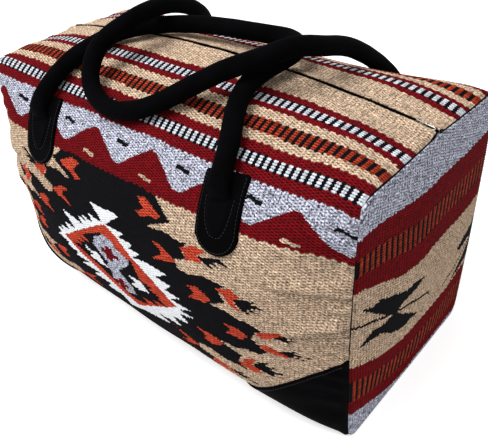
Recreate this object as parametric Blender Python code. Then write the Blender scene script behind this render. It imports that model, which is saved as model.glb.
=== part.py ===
"""Soft duffle bag of hand-woven cloth with rolled suede handles.

X runs along the bag, -Y is the front and +Z is up. The origin is at the middle of the
base. A place on the cloth is given by x and by s, the length of cloth from the zip down
to it: s is positive down the front and negative down the back.
"""
import math
import bpy
import bmesh
import numpy as np
from mathutils import Vector

# Driving dimensions of the bag, in metres
BAG_LENGTH = 0.530
END_WIDTH = 0.243
END_HEIGHT = 0.301
CROWN_RISE = 0.0234
SIDE_SWELL = 0.056
END_BOW = 0.006
END_DOME = 0.007
BASE_SAG = 0.003
CLOTH = 0.003
SEAM_GAP = 0.0004

# How square the bag's section is at its ends and how round in its middle
END_SQUARENESS = 20.0
TOP_ROUNDNESS = 2.2
BASE_ROUNDNESS = 2.6
WIDEST_AT = 0.40
SWELL_POWER = 4.5
SWELL_EASE = 1.5
CROWN_POWER = 4.0
BOW_FADE = 0.8

# Woven design: lengths of cloth from the zip to the lower edge of each band
PLAIN_EDGE = 0.0362
UPPER_RED_EDGE = 0.0446
UPPER_HATCH_EDGE = 0.0556
LOWER_RED_EDGE = 0.0631
BEIGE_EDGE = 0.0746
RUST_HATCH_EDGE = 0.0895
SECOND_BEIGE_EDGE = 0.0993
THIRD_RED_EDGE = 0.109
CHECK_EDGE = 0.121
FOURTH_RED_EDGE = 0.132
PEAK_EDGE = 0.144
VALLEY_EDGE = 0.169
RED_FOOT_EDGE = 0.182
PEAK_PITCH = 0.089
FIRST_VALLEY = -0.0115
DIAMOND_CENTRE = 0.287
DIAMOND_HALF_HEIGHT = 0.045
DIAMOND_HALF_LENGTH = 0.0925
FIELD_HALF_HEIGHT = 0.086
FIELD_HALF_LENGTH = 0.200

# Suede base and corner patches
BASE_TURN_UP = 0.012
PATCH_HEIGHT = 0.115
PATCH_WIDTH = 0.127
PATCH_TIP = 0.004
SUEDE = 0.0016
LAID_ON = 0.0006
PATCH_LIFT = 0.0011

# Zip
ZIP_END = 0.020
ZIP_RISE = 0.0015
ZIP_DIMPLE = 0.022
ZIP_SLOT = 0.0094
TAPE_WIDTH = 0.016
TAPE_THICKNESS = 0.0008
TAPE_GAP = 0.0012
COIL_GAP = 0.0014
COIL_WIDTH = 0.0022
COIL_HEIGHT = 0.0022
STOP_LENGTH = 0.004
STOP_GAP = 0.0007
SLIDER_LENGTH = 0.0115
SLIDER_WIDTH = 0.0080
SLIDER_PLATE = 0.0014
SLIDER_WEB = 0.0005
SLIDER_FIT = 0.0004
BRIDGE_CLEAR = 0.0022
BRIDGE_BAR = 0.0008
BRIDGE_WIDTH = 0.0016
BRIDGE_LENGTH = 0.0074
BRIDGE_POST = 0.0010
PULL_LENGTH = 0.0150
PULL_WIDTH = 0.0058
PULL_THICKNESS = 0.0010
PULL_ARM = 0.0014

# Handles
TUBE_DIAMETER = 0.0195
TAB_SPACING = 0.278
FRONT_SHIFT = 0.007
HINGE_REACH = 0.150
HINGE_HEIGHT = 0.0115
TAB_ABOVE = 0.017
TAB_BELOW = 0.061
FRONT_TAB_LEAN = 0.15
TAB_WIDTH = 0.050
TAB_THICKNESS = 0.0026
TAB_ROLL_THICKNESS = 0.0048
TAB_SLOT = 0.021
TAB_ROUND = 0.024
TAB_CREASE = 0.45

# Routes of the two handles, tab to tab. Each point holds x as a share of a tab's distance
# from the middle, s as a share of HINGE_REACH and its height over the cloth in tube
# diameters.
FRONT_ROUTE = [
    (-1.043, 0.860, 0.564), (-1.000, 0.613, 0.564), (-0.935, 0.440, 0.590),
    (-0.835, 0.220, 0.656), (-0.633, 0.030, 0.759), (-0.353, -0.093, 0.821),
    (-0.029, -0.133, 0.974), (0.360, -0.153, 1.103), (0.604, -0.160, 1.154),
    (0.741, -0.087, 1.103), (0.748, 0.053, 0.923), (0.698, 0.200, 0.667),
    (0.691, 0.367, 0.564), (0.773, 0.564, 0.564), (0.883, 0.759, 0.577),
]
BACK_ROUTE = [
    (0.957, -0.767, 0.564), (0.964, -0.533, 0.692), (0.971, -0.300, 1.103),
    (0.978, -0.053, 1.769), (0.928, 0.173, 2.128), (0.791, 0.293, 1.923),
    (0.561, 0.400, 1.456), (0.281, 0.573, 0.810), (0.050, 0.727, 0.554),
    (-0.216, 0.813, 0.554), (-0.475, 0.773, 0.574), (-0.619, 0.660, 0.872),
    (-0.637, 0.490, 1.538), (-0.561, 0.300, 1.897), (-0.540, 0.080, 1.949),
    (-0.626, -0.247, 1.436), (-0.741, -0.533, 0.846), (-0.955, -0.830, 0.564),
]

# Mesh fineness
SECTION_STEPS = 601
TUBE_STEPS = 64
TUBE_SIDES = 10
TAB_ROWS = 9
TAB_SLOT_SHARES = (0.0, 0.5, 0.85, 0.98)
TAB_SHOULDER_SHARES = (0.02, 0.35, 0.7, 0.9, 1.0)
FOOT_SHARES = (0.45, 0.66, 0.83, 1.0)
BASE_SHARES = (0.0, 0.36, 0.64, 0.80, 0.88, 0.93, 0.97, 1.0)
PATCH_SHARES = (0.0, 0.12, 0.24, 0.36, 0.48, 0.6, 0.7, 0.8, 0.87, 0.93, 0.97, 1.0)
END_COLUMNS = 14

HALF_LENGTH = BAG_LENGTH / 2
ZIP_HALF_LENGTH = HALF_LENGTH - ZIP_END
WRAP_END = HALF_LENGTH - CLOTH - SEAM_GAP
CORNER_REACH = END_WIDTH / 2 + END_HEIGHT
TOP_CORNER = END_WIDTH / 2
BASE_SEAM = CORNER_REACH - BASE_TURN_UP
TUBE_RADIUS = TUBE_DIAMETER / 2
TAPE_TOP = -CLOTH - SEAM_GAP
TAPE_UNDER = TAPE_TOP - TAPE_THICKNESS
COIL_UNDER = TAPE_TOP + 1.25 * SEAM_GAP
COIL_TOP = COIL_UNDER + COIL_HEIGHT
COIL_OUTER = COIL_GAP / 2 + COIL_WIDTH
PLATE_UNDER = COIL_TOP + SLIDER_FIT
PLATE_TOP = PLATE_UNDER + SLIDER_PLATE
PULL_AXIS = PLATE_TOP + BRIDGE_CLEAR / 2

BEIGE = (0.56, 0.41, 0.26)
RED = (0.27, 0.014, 0.022)
RUST = (0.50, 0.10, 0.035)
BLACK = (0.012, 0.011, 0.014)
GREY = (0.42, 0.42, 0.48)
WHITE = (0.78, 0.78, 0.76)


def clear_scene():
    """Remove every object, so that the model starts from an empty scene."""
    for old in list(bpy.data.objects):
        bpy.data.objects.remove(old, do_unlink=True)


def make_material(name, colour, roughness, metallic=0.0):
    """Return a plain Principled material."""
    material = bpy.data.materials.new(name)
    material.use_nodes = True
    shader = material.node_tree.nodes["Principled BSDF"]
    shader.inputs["Base Color"].default_value = (*colour, 1.0)
    shader.inputs["Roughness"].default_value = roughness
    shader.inputs["Metallic"].default_value = metallic
    return material


def crown_height(x):
    """Height of the bag's top at x: level in the middle, falling to the end panels."""
    along = min(abs(x) / HALF_LENGTH, 1.0)
    return END_HEIGHT + CROWN_RISE * (1.0 - along ** CROWN_POWER)


ZIP_TOP = crown_height(0.0) + ZIP_RISE
ZIP_DROP = ZIP_TOP - crown_height(ZIP_HALF_LENGTH)
ZIP_RADIUS = (ZIP_HALF_LENGTH ** 2 + ZIP_DROP ** 2) / (2 * ZIP_DROP)
ZIP_CENTRE = ZIP_TOP - ZIP_RADIUS
SLIDER_TURN = math.asin(ZIP_HALF_LENGTH / ZIP_RADIUS)
CHAIN_TURN = SLIDER_TURN + (SLIDER_LENGTH / 2 + STOP_GAP - SEAM_GAP) / ZIP_RADIUS
STOP_TURN = CHAIN_TURN + (SEAM_GAP + STOP_LENGTH) / ZIP_RADIUS


def zip_height(x):
    """Height of the zip at x, on one round arc so that the slider can follow it."""
    return ZIP_TOP - ZIP_RADIUS + math.sqrt(ZIP_RADIUS ** 2 - x * x)


def fullness(x):
    """How far the stuffed bag has filled out at x: 1 over the middle, 0 at the ends."""
    along = min(abs(x) / HALF_LENGTH, 1.0)
    return (1.0 - along ** SWELL_POWER) ** SWELL_EASE


SECTIONS = {}


def half_section(x):
    """Outline of half the bag at x, from the zip to the middle of the base.

    It is a superellipse that is nearly a rectangle at the ends and nearly round in the
    middle. Returns the distance out from the middle, the height and the cloth length.
    """
    key = round(x, 6)
    if key in SECTIONS:
        return SECTIONS[key]
    full = fullness(x)
    half_width = END_WIDTH / 2 + SIDE_SWELL * full
    top = crown_height(x)
    waist = WIDEST_AT * top
    top_power = 1.0 / ((1.0 - full) / END_SQUARENESS + full / TOP_ROUNDNESS)
    base_power = 1.0 / ((1.0 - full) / END_SQUARENESS + full / BASE_ROUNDNESS)
    angle = np.linspace(0.0, math.pi, SECTION_STEPS)
    across, up = np.sin(angle), np.cos(angle)
    above = up > 0
    power = np.where(above, top_power, base_power)
    out = half_width * np.abs(across) ** (2.0 / power)
    reach = np.where(above, top - waist, waist)
    height = waist + reach * np.sign(up) * np.abs(up) ** (2.0 / power)
    bow = END_BOW * (1.0 - full) * np.sin(math.pi * np.clip(height / top, 0.0, 1.0))
    out = out + bow * np.minimum(1.0, out / (BOW_FADE * half_width))
    flatten = BASE_SAG * full * (1.0 - height / waist)
    height = np.where(above, height, np.maximum(height - flatten, 0.0))
    dimple = (zip_height(x) - top) * np.exp(-(out / ZIP_DIMPLE) ** 2)
    height = np.where(above, height + dimple, height)
    length = np.concatenate([[0.0], np.cumsum(np.hypot(np.diff(out), np.diff(height)))])
    SECTIONS[key] = (out, height, length)
    return SECTIONS[key]


def cloth_length(x):
    """Length of cloth at x from the zip to the middle of the base."""
    return float(half_section(x)[2][-1])


def on_cloth(x, s, lift=0.0):
    """Point at cloth length s from the zip, lifted off the outer face along its normal."""
    out, height, length = half_section(x)
    reach = abs(s)
    before, after = max(reach - CLOTH, 0.0), min(reach + CLOTH, length[-1])
    run_out = np.interp(after, length, out) - np.interp(before, length, out)
    run_up = np.interp(after, length, height) - np.interp(before, length, height)
    size = math.hypot(run_out, run_up)
    side = -1.0 if s >= 0 else 1.0
    y = np.interp(reach, length, out) - lift * run_up / size
    z = np.interp(reach, length, height) + lift * run_out / size
    return Vector((x, side * y, z))


def finish_object(name, builder, materials, smooth=True):
    """Turn a bmesh into a named object with its faces pointing outwards."""
    bmesh.ops.recalc_face_normals(builder, faces=builder.faces)
    mesh = bpy.data.meshes.new(name)
    builder.to_mesh(mesh)
    builder.free()
    for material in materials:
        mesh.materials.append(material)
    if smooth:
        mesh.shade_smooth()
        mesh.set_sharp_from_angle(angle=math.radians(40))
    made = bpy.data.objects.new(name, mesh)
    bpy.context.scene.collection.objects.link(made)
    return made


def place_origin(made, origin):
    """Move an object's origin without moving its surface."""
    for vertex in made.data.vertices:
        vertex.co -= origin
    made.location = origin


def slab(name, outer, inner, materials, face_slot=None, smooth=True):
    """Closed sheet between two grids of points, with a slot chosen for each outer face."""
    builder = bmesh.new()
    rows, columns = len(outer), len(outer[0])
    top = [[builder.verts.new(point) for point in row] for row in outer]
    low = [[builder.verts.new(point) for point in row] for row in inner]
    for i in range(rows - 1):
        for j in range(columns - 1):
            quad = (top[i][j], top[i][j + 1], top[i + 1][j + 1], top[i + 1][j])
            face = builder.faces.new(quad)
            if face_slot:
                face.material_index = face_slot(i, j)
            builder.faces.new((low[i][j], low[i + 1][j], low[i + 1][j + 1], low[i][j + 1]))
    for i in range(rows - 1):
        for j in (0, columns - 1):
            builder.faces.new((top[i][j], top[i + 1][j], low[i + 1][j], low[i][j]))
    for j in range(columns - 1):
        for i in (0, rows - 1):
            builder.faces.new((top[i][j], top[i][j + 1], low[i][j + 1], low[i][j]))
    return finish_object(name, builder, materials, smooth)


def wrap_stations():
    """Stations along the bag: six to each peak of the woven design, closer at the ends."""
    step = PEAK_PITCH / 6
    first = math.ceil((-WRAP_END - FIRST_VALLEY) / step + 0.3)
    last = math.floor((WRAP_END - FIRST_VALLEY) / step - 0.3)
    inner = [FIRST_VALLEY + step * k for k in range(first, last + 1)]
    ends = [inner[0] - (inner[0] + WRAP_END) * share for share in (0.75, 0.5, 0.25)]
    ends += [(inner[0] + inner[1]) / 2]
    others = [inner[-1] + (WRAP_END - inner[-1]) * share for share in (0.25, 0.5, 0.75)]
    others += [(inner[-2] + inner[-1]) / 2]
    return sorted([-WRAP_END, WRAP_END] + inner + ends + others)


def peak_line(x):
    """Cloth length at which the grey band ends and the red peaks begin."""
    phase = abs(((x - FIRST_VALLEY) / PEAK_PITCH + 0.5) % 1.0 - 0.5) * 2
    return VALLEY_EDGE + (PEAK_EDGE - VALLEY_EDGE) * phase


BANDS = [
    (ZIP_SLOT / 2, "beige"), (0.018, "beige"), (PLAIN_EDGE, "red"),
    (UPPER_RED_EDGE, "hatch"), (UPPER_HATCH_EDGE, "red"), (LOWER_RED_EDGE, "beige"),
    (BEIGE_EDGE, "rust hatch"), (RUST_HATCH_EDGE, "beige"), (SECOND_BEIGE_EDGE, "red"),
    (THIRD_RED_EDGE, "hatch"), (CHECK_EDGE, "red"), (FOURTH_RED_EDGE, "grey"),
    (None, "red"), (RED_FOOT_EDGE, "field"),
]
CLOTH_COLOURS = ["beige", "red", "rust", "black", "grey", "white"]


def panel_rows(x):
    """Cloth lengths of the grid rows at x, following the edges of the woven bands."""
    rows = [peak_line(x) if edge is None else edge for edge, _ in BANDS]
    steps = (-FIELD_HALF_HEIGHT, -0.75 * FIELD_HALF_HEIGHT, -DIAMOND_HALF_HEIGHT,
             -DIAMOND_HALF_HEIGHT / 2)
    rows += [DIAMOND_CENTRE + step for step in steps]
    rows += [DIAMOND_CENTRE] + [DIAMOND_CENTRE - step for step in reversed(steps)]
    height = BASE_SEAM - SEAM_GAP / 2 - rows[-1]
    return rows + [rows[-1] + height * share for share in FOOT_SHARES]


def panel_slot(stations, row, column):
    """Colour of one face of a panel, taken at its middle."""
    if row < len(BANDS) - 1:
        band = BANDS[row][1]
        odd = column % 2
        if band == "hatch":
            return CLOTH_COLOURS.index("white" if odd else "black")
        if band == "rust hatch":
            return CLOTH_COLOURS.index("rust" if odd else "black")
        return CLOTH_COLOURS.index(band)
    x = (stations[column] + stations[column + 1]) / 2
    rows = panel_rows(x)
    s = (rows[row] + rows[row + 1]) / 2
    along, down = abs(x), abs(s - DIAMOND_CENTRE)
    diamond = along / DIAMOND_HALF_LENGTH + down / DIAMOND_HALF_HEIGHT
    field = along / FIELD_HALF_LENGTH + down / FIELD_HALF_HEIGHT
    if diamond < 0.35:
        return CLOTH_COLOURS.index("grey")
    if diamond < 1.0:
        return CLOTH_COLOURS.index("rust")
    if diamond < 1.3:
        return CLOTH_COLOURS.index("white")
    if field < 1.0:
        return CLOTH_COLOURS.index("black")
    return CLOTH_COLOURS.index("beige")


def make_wrap_panel(name, side, materials):
    """Half of the woven wrap, from the zip over the shoulder and down to the base."""
    stations = wrap_stations()
    rows = [panel_rows(x) for x in stations]
    count = len(rows[0])
    outer = [[on_cloth(x, side * rows[i][j]) for i, x in enumerate(stations)]
             for j in range(count)]
    inner = [[on_cloth(x, side * rows[i][j], -CLOTH) for i, x in enumerate(stations)]
             for j in range(count)]
    return slab(name, outer, inner, materials, lambda i, j: panel_slot(stations, i, j))


def make_base(material):
    """Suede base: it lies flat and turns up a little way at the front and the back."""
    stations = wrap_stations()
    shares = [-share for share in reversed(BASE_SHARES[1:])] + list(BASE_SHARES)
    edge = BASE_SEAM + SEAM_GAP / 2

    def row(share, lift):
        side = 1.0 if share <= 0 else -1.0
        lengths = [cloth_length(x) - (cloth_length(x) - edge) * abs(share) for x in stations]
        return [on_cloth(x, side * s, lift) for x, s in zip(stations, lengths)]

    outer = [row(share, 0.0) for share in shares]
    inner = [row(share, -CLOTH) for share in shares]
    return slab("base_panel", outer, inner, [material])


END_BANDS = [
    (0.0, "grey"), (0.155, "red"), (0.235, "hatch"), (0.30, "red"), (0.37, "beige"),
    (0.45, "motif"), (0.54, "motif"), (0.63, "beige"), (0.705, "red"), (0.77, "hatch"),
    (0.83, "red"), (0.90, "grey"), (0.96, "grey"), (1.0, None),
]


def end_slot(row, column):
    """Colour of one face of an end panel."""
    band = END_BANDS[row][1]
    odd = column % 2
    if band == "hatch":
        return CLOTH_COLOURS.index("rust" if odd else "black")
    if band == "motif":
        return CLOTH_COLOURS.index("black" if column in (2, 3, 7, 8, 12) else "beige")
    return CLOTH_COLOURS.index(band)


def make_end(name, side, materials):
    """End panel: a patch filled in between the four edges of the bag's end section."""
    out, height, length = half_section(HALF_LENGTH)

    def edge(s):
        sign = -1.0 if s >= 0 else 1.0
        reach = abs(s)
        return np.array([sign * np.interp(reach, length, out), np.interp(reach, length, height)])

    whole = cloth_length(HALF_LENGTH)
    corners = {(a, b): edge(a * (CORNER_REACH if b else TOP_CORNER)) for a in (1, -1) for b in (0, 1)}
    outer, inner = [], []
    for down, _ in END_BANDS:
        reach = TOP_CORNER + (CORNER_REACH - TOP_CORNER) * down
        front, back = edge(reach), edge(-reach)
        line, lining = [], []
        for j in range(END_COLUMNS + 1):
            across = j / END_COLUMNS
            turn = 1 - 2 * across
            top = edge(TOP_CORNER * turn)
            low = edge(math.copysign(whole - (whole - CORNER_REACH) * abs(turn), turn))
            spot = top * (1 - down) + low * down + front * (1 - across) + back * across
            spot = spot - (corners[1, 0] * (1 - across) + corners[-1, 0] * across) * (1 - down)
            spot = spot - (corners[1, 1] * (1 - across) + corners[-1, 1] * across) * down
            dome = END_DOME * (1 - turn ** 2) * (1 - (2 * down - 1) ** 2)
            line.append(Vector((side * (HALF_LENGTH + dome), spot[0], spot[1])))
            lining.append(Vector((side * (HALF_LENGTH + dome - CLOTH), spot[0], spot[1])))
        outer.append(line)
        inner.append(lining)
    return slab(name, outer, inner, materials, end_slot)


def make_corner_patch(name, end, side, material):
    """Triangle of suede sewn over the lower corner of the wrap at one end."""
    tip = WRAP_END - PATCH_WIDTH
    stations = [x for x in wrap_stations() if tip + PATCH_TIP < x < WRAP_END - PATCH_TIP]
    stations = [tip + PATCH_TIP] + stations + [WRAP_END - SEAM_GAP]
    foot = BASE_SEAM - SEAM_GAP

    def row(x, lift):
        tall = PATCH_HEIGHT * (x - tip) / PATCH_WIDTH
        lengths = [foot - tall * (1 - share) for share in PATCH_SHARES]
        return [on_cloth(end * x, side * s, lift) for s in lengths]

    outer = [row(x, PATCH_LIFT + SUEDE) for x in stations]
    inner = [row(x, PATCH_LIFT) for x in stations]
    return slab(name, outer, inner, [material])


def make_tape(name, side, material):
    """One half of the zip's cloth tape, under the edge of the wrap."""
    stations = wrap_stations()
    shares = (TAPE_GAP / 2, ZIP_SLOT / 2, TAPE_WIDTH)
    outer = [[on_cloth(x, side * s, TAPE_TOP) for x in stations] for s in shares]
    inner = [[on_cloth(x, side * s, TAPE_UNDER) for x in stations] for s in shares]
    return slab(name, outer, inner, [material])


def on_zip(angle, y, lift):
    """Point at a turn along the round arc of the zip, y aside of it and lifted off it."""
    radius = ZIP_RADIUS + lift
    return Vector((radius * math.sin(angle), y, ZIP_CENTRE + radius * math.cos(angle)))


def blocks(name, lengths, widths, lifts, filled, material, bend, origin=None):
    """Closed body made of the filled cells of a small grid that is bent along the zip.

    The grid's three lists hold the lines between cells. Only faces between a filled and
    an empty cell are made.
    """
    builder = bmesh.new()
    corners = {}

    def corner(i, j, k):
        if (i, j, k) not in corners:
            corners[i, j, k] = builder.verts.new(bend(lengths[i], widths[j], lifts[k]))
        return corners[i, j, k]

    faces = {
        (1, 0, 0): ((1, 0, 0), (1, 1, 0), (1, 1, 1), (1, 0, 1)),
        (-1, 0, 0): ((0, 0, 0), (0, 0, 1), (0, 1, 1), (0, 1, 0)),
        (0, 1, 0): ((0, 1, 0), (0, 1, 1), (1, 1, 1), (1, 1, 0)),
        (0, -1, 0): ((0, 0, 0), (1, 0, 0), (1, 0, 1), (0, 0, 1)),
        (0, 0, 1): ((0, 0, 1), (1, 0, 1), (1, 1, 1), (0, 1, 1)),
        (0, 0, -1): ((0, 0, 0), (0, 1, 0), (1, 1, 0), (1, 0, 0)),
    }
    for i, j, k in filled:
        for (di, dj, dk), ring in faces.items():
            if (i + di, j + dj, k + dk) not in filled:
                builder.faces.new([corner(i + a, j + b, k + c) for a, b, c in ring])
    made = finish_object(name, builder, [material], smooth=False)
    if origin is not None:
        place_origin(made, origin)
    return made


def cells(i_range, j_range, k_range):
    """All cells of a grid within three ranges of cell numbers."""
    return {(i, j, k) for i in i_range for j in j_range for k in k_range}


def make_chain(name, side, material):
    """One side of the zip's coil, as a plain strip on its tape."""
    angles = np.linspace(-CHAIN_TURN, CHAIN_TURN, len(wrap_stations()))
    widths = sorted((side * COIL_GAP / 2, side * COIL_OUTER))
    filled = cells(range(len(angles) - 1), (0,), (0,))
    return blocks(name, angles, widths, (COIL_UNDER, COIL_TOP), filled, material, on_zip)


def make_stop(name, end, material):
    """Small metal stop at one end of the coil."""
    angles = sorted((end * (CHAIN_TURN + SEAM_GAP / ZIP_RADIUS), end * STOP_TURN))
    widths = (-COIL_OUTER, COIL_OUTER)
    return blocks(name, angles, widths, (COIL_UNDER, COIL_TOP), {(0, 0, 0)}, material, on_zip)


def make_slider(material):
    """Zip slider: two plates joined by a web, flanges around the coil and a low bridge."""
    def bend(along, y, lift):
        return on_zip(SLIDER_TURN + along / ZIP_RADIUS, y, lift)

    half, arch = SLIDER_LENGTH / 2, BRIDGE_LENGTH / 2
    lengths = (-half, -arch, -arch + BRIDGE_POST, arch - BRIDGE_POST, arch, half)
    outer = (SLIDER_WEB / 2, BRIDGE_WIDTH / 2, COIL_OUTER + SLIDER_FIT, SLIDER_WIDTH / 2)
    widths = [-y for y in reversed(outer)] + list(outer)
    lower_top = TAPE_UNDER - SLIDER_FIT
    flange_foot = TAPE_TOP + 1.5 * SLIDER_FIT
    lifts = (lower_top - SLIDER_PLATE * 0.7, lower_top, flange_foot, PLATE_UNDER, PLATE_TOP,
             PLATE_TOP + BRIDGE_CLEAR, PLATE_TOP + BRIDGE_CLEAR + BRIDGE_BAR)
    whole, across = range(5), range(7)
    filled = cells(whole, across, (0, 3)) | cells(whole, (3,), (1, 2))
    filled |= cells(whole, (0, 6), (2,))
    filled |= cells((1, 3), (2, 3, 4), (4,)) | cells((1, 2, 3), (2, 3, 4), (5,))
    origin = Vector((0.0, 0.0, ZIP_CENTRE))
    return blocks("zipper_slider", lengths, widths, lifts, filled, material, bend, origin)


def make_pull(material):
    """Pull: a plate with a window that holds it on the slider's bridge."""
    pivot = on_zip(SLIDER_TURN, 0.0, PULL_AXIS)
    forward = Vector((math.cos(SLIDER_TURN), 0.0, -math.sin(SLIDER_TURN)))
    upward = Vector((math.sin(SLIDER_TURN), 0.0, math.cos(SLIDER_TURN)))

    def bend(along, y, lift):
        return pivot + forward * along + upward * lift + Vector((0.0, y, 0.0))

    thick = PULL_THICKNESS / 2
    window = BRIDGE_LENGTH / 2 + 1.2 * PULL_THICKNESS
    lengths = (-thick, thick, window, PULL_LENGTH)
    widths = (-PULL_WIDTH / 2, -PULL_ARM, PULL_ARM, PULL_WIDTH / 2)
    filled = cells((0, 1, 2), (0, 1, 2), (0,)) - {(1, 1, 0)}
    return blocks("zipper_pull", lengths, widths, (-thick, thick), filled, material, bend, pivot)


def tab_middle(end, side):
    """Where a tab's middle crosses the hinge line. The front handle's tabs sit to the left."""
    return end * TAB_SPACING / 2 - (FRONT_SHIFT if side > 0 else 0.0)


def hinge_point(end, side):
    """Centre of a handle's round end. Both its ends lie on one straight line along the bag."""
    level = on_cloth(TAB_SPACING / 2, side * HINGE_REACH, HINGE_HEIGHT)
    return Vector((tab_middle(end, side), level.y, level.z))


def make_tab(name, end, side, material):
    """Flat suede end of a handle, sewn to the wrap, with square shoulders and a round foot.

    A slot between the shoulders holds the handle's round end. A point of the tab is its
    place aside of the middle line and its drop below the hinge, turned by the tab's lean.
    """
    lean = FRONT_TAB_LEAN if side > 0 else 0.0
    slot, shoulder = TAB_SLOT / 2, (TAB_WIDTH - TAB_SLOT) / 2
    half = [slot * share for share in TAB_SLOT_SHARES]
    half += [slot + shoulder * share for share in TAB_SHOULDER_SHARES]
    asides = [-aside for aside in reversed(half[1:])] + half

    def row(down, lift, roll):
        crease = min(down / TAB_CREASE, 1.0)
        roll = roll * (1 - crease * crease * (3 - 2 * crease))
        line = []
        for aside in asides:
            top = math.sqrt(slot ** 2 - aside ** 2) if abs(aside) < slot else -TAB_ABOVE
            across = 2 * aside / TAB_WIDTH
            foot = TAB_BELOW - TAB_ROUND * (1 - math.sqrt(1 - (0.95 * across) ** 2))
            drop = top + (foot - top) * down
            arch = max(1 - (aside / TUBE_RADIUS) ** 2, 0.0)
            x = tab_middle(end, side) + aside * math.cos(lean) + drop * math.sin(lean)
            s = HINGE_REACH + drop * math.cos(lean) - aside * math.sin(lean)
            line.append(on_cloth(x, side * s, lift + roll * arch))
        return line

    rows = [i / (TAB_ROWS - 1) for i in range(TAB_ROWS)]
    outer = [row(down, LAID_ON + TAB_THICKNESS, TAB_ROLL_THICKNESS - TAB_THICKNESS) for down in rows]
    inner = [row(down, LAID_ON, 0.0) for down in rows]
    return slab(name, outer, inner, [material])


def spline(points, count):
    """Evenly spaced points on a natural cubic spline through the given ones."""
    points = np.array(points)
    knots = np.concatenate([[0], np.cumsum(np.linalg.norm(np.diff(points, axis=0), axis=1) ** 0.5)])
    gaps = np.diff(knots)
    size = len(points)
    matrix = np.eye(size)
    target = np.zeros((size, 3))
    slopes = np.diff(points, axis=0) / gaps[:, None]
    for i in range(1, size - 1):
        matrix[i, i - 1:i + 2] = gaps[i - 1], 2 * (gaps[i - 1] + gaps[i]), gaps[i]
        target[i] = 6 * (slopes[i] - slopes[i - 1])
    bends = np.linalg.solve(matrix, target)
    fine = np.linspace(0, knots[-1], 12 * count)
    span = np.clip(np.searchsorted(knots, fine) - 1, 0, size - 2)
    gap = gaps[span][:, None]
    late = (fine - knots[span])[:, None] / gap
    early = 1 - late
    curve = early * points[span] + late * points[span + 1]
    curve += gap ** 2 / 6 * ((early ** 3 - early) * bends[span] + (late ** 3 - late) * bends[span + 1])
    run = np.concatenate([[0], np.cumsum(np.linalg.norm(np.diff(curve, axis=0), axis=1))])
    even = np.linspace(0, run[-1], count)
    return [Vector([np.interp(t, run, curve[:, axis]) for axis in range(3)]) for t in even]


def make_handle(name, side, route, material):
    """Rolled suede handle: a round tube along its route with a round end on each pivot."""
    spread = TAB_SPACING / 2
    first = -1.0 if route[0][0] < 0 else 1.0
    ends = [hinge_point(end, side) for end in (first, -first)]
    middle = [on_cloth(x * spread, s * HINGE_REACH, lift * TUBE_DIAMETER) for x, s, lift in route]
    line = spline([ends[0]] + middle + [ends[1]], TUBE_STEPS)
    builder = bmesh.new()
    rings = []
    tangents = [(line[min(i + 1, TUBE_STEPS - 1)] - line[max(i - 1, 0)]).normalized()
                for i in range(TUBE_STEPS)]
    normal = tangents[0].orthogonal().normalized()

    def ring(centre, tangent, radius):
        second = tangent.cross(normal)
        turns = [2 * math.pi * k / TUBE_SIDES for k in range(TUBE_SIDES)]
        return [builder.verts.new(centre + (normal * math.cos(t) + second * math.sin(t)) * radius)
                for t in turns]

    def cap(centre, tangent, outward):
        made = []
        for turn in (math.pi / 6, math.pi / 3):
            shift = tangent * outward * TUBE_RADIUS * math.sin(turn)
            made.append(ring(centre + shift, tangent, TUBE_RADIUS * math.cos(turn)))
        return made, builder.verts.new(centre + tangent * outward * TUBE_RADIUS)

    start, start_tip = cap(line[0], tangents[0], -1)
    rings.extend(reversed(start))
    for point, tangent in zip(line, tangents):
        normal = (normal - tangent * normal.dot(tangent)).normalized()
        rings.append(ring(point, tangent, TUBE_RADIUS))
    finish, finish_tip = cap(line[-1], tangents[-1], 1)
    rings.extend(finish)
    for before, after in zip(rings, rings[1:]):
        for k in range(TUBE_SIDES):
            other = (k + 1) % TUBE_SIDES
            builder.faces.new((before[k], before[other], after[other], after[k]))
    for k in range(TUBE_SIDES):
        other = (k + 1) % TUBE_SIDES
        builder.faces.new((start_tip, rings[0][other], rings[0][k]))
        builder.faces.new((finish_tip, rings[-1][k], rings[-1][other]))
    made = finish_object(name, builder, [material])
    place_origin(made, Vector((0.0, ends[0].y, ends[0].z)))
    return made


clear_scene()
woven = [
    make_material("woven_beige", BEIGE, 0.9), make_material("woven_red", RED, 0.9),
    make_material("woven_rust", RUST, 0.9), make_material("woven_black", BLACK, 0.9),
    make_material("woven_grey", GREY, 0.9), make_material("woven_white", WHITE, 0.9),
]
suede = make_material("black_suede", (0.012, 0.012, 0.014), 0.75)
tape = make_material("zip_tape", (0.06, 0.035, 0.03), 0.85)
coil = make_material("zip_coil", (0.05, 0.03, 0.026), 0.4)
metal = make_material("nickel", (0.66, 0.64, 0.60), 0.3, 1.0)

make_wrap_panel("front_panel", 1, woven)
make_wrap_panel("back_panel", -1, woven)
make_base(suede)
make_end("end_panel_left", -1, woven)
make_end("end_panel_right", 1, woven)
for side, face in ((1, "front"), (-1, "back")):
    for end, hand in ((-1, "left"), (1, "right")):
        make_corner_patch("corner_patch_" + face + "_" + hand, end, side, suede)
        make_tab(face + "_handle_tab_" + hand, end, side, suede)
    make_tape("zipper_tape_" + face, side, tape)
    make_chain("zipper_chain_" + face, -side, coil)
make_stop("zipper_stop_left", -1, metal)
make_stop("zipper_stop_right", 1, metal)
make_slider(metal)
make_pull(metal)
make_handle("front_handle", 1, FRONT_ROUTE, suede)
make_handle("back_handle", -1, BACK_ROUTE, suede)
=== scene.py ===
"""Soft duffle bag of hand-woven cloth with rolled suede handles, on a pale floor.

X runs along the bag, -Y is the front and +Z is up. A place on the cloth is given by x and
by s, the length of cloth from the zip down to it: s is positive down the front and
negative down the back. A lift is a height over the cloth's outer face.
"""
import math
import bpy
import numpy as np
from mathutils import Matrix, Vector


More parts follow.
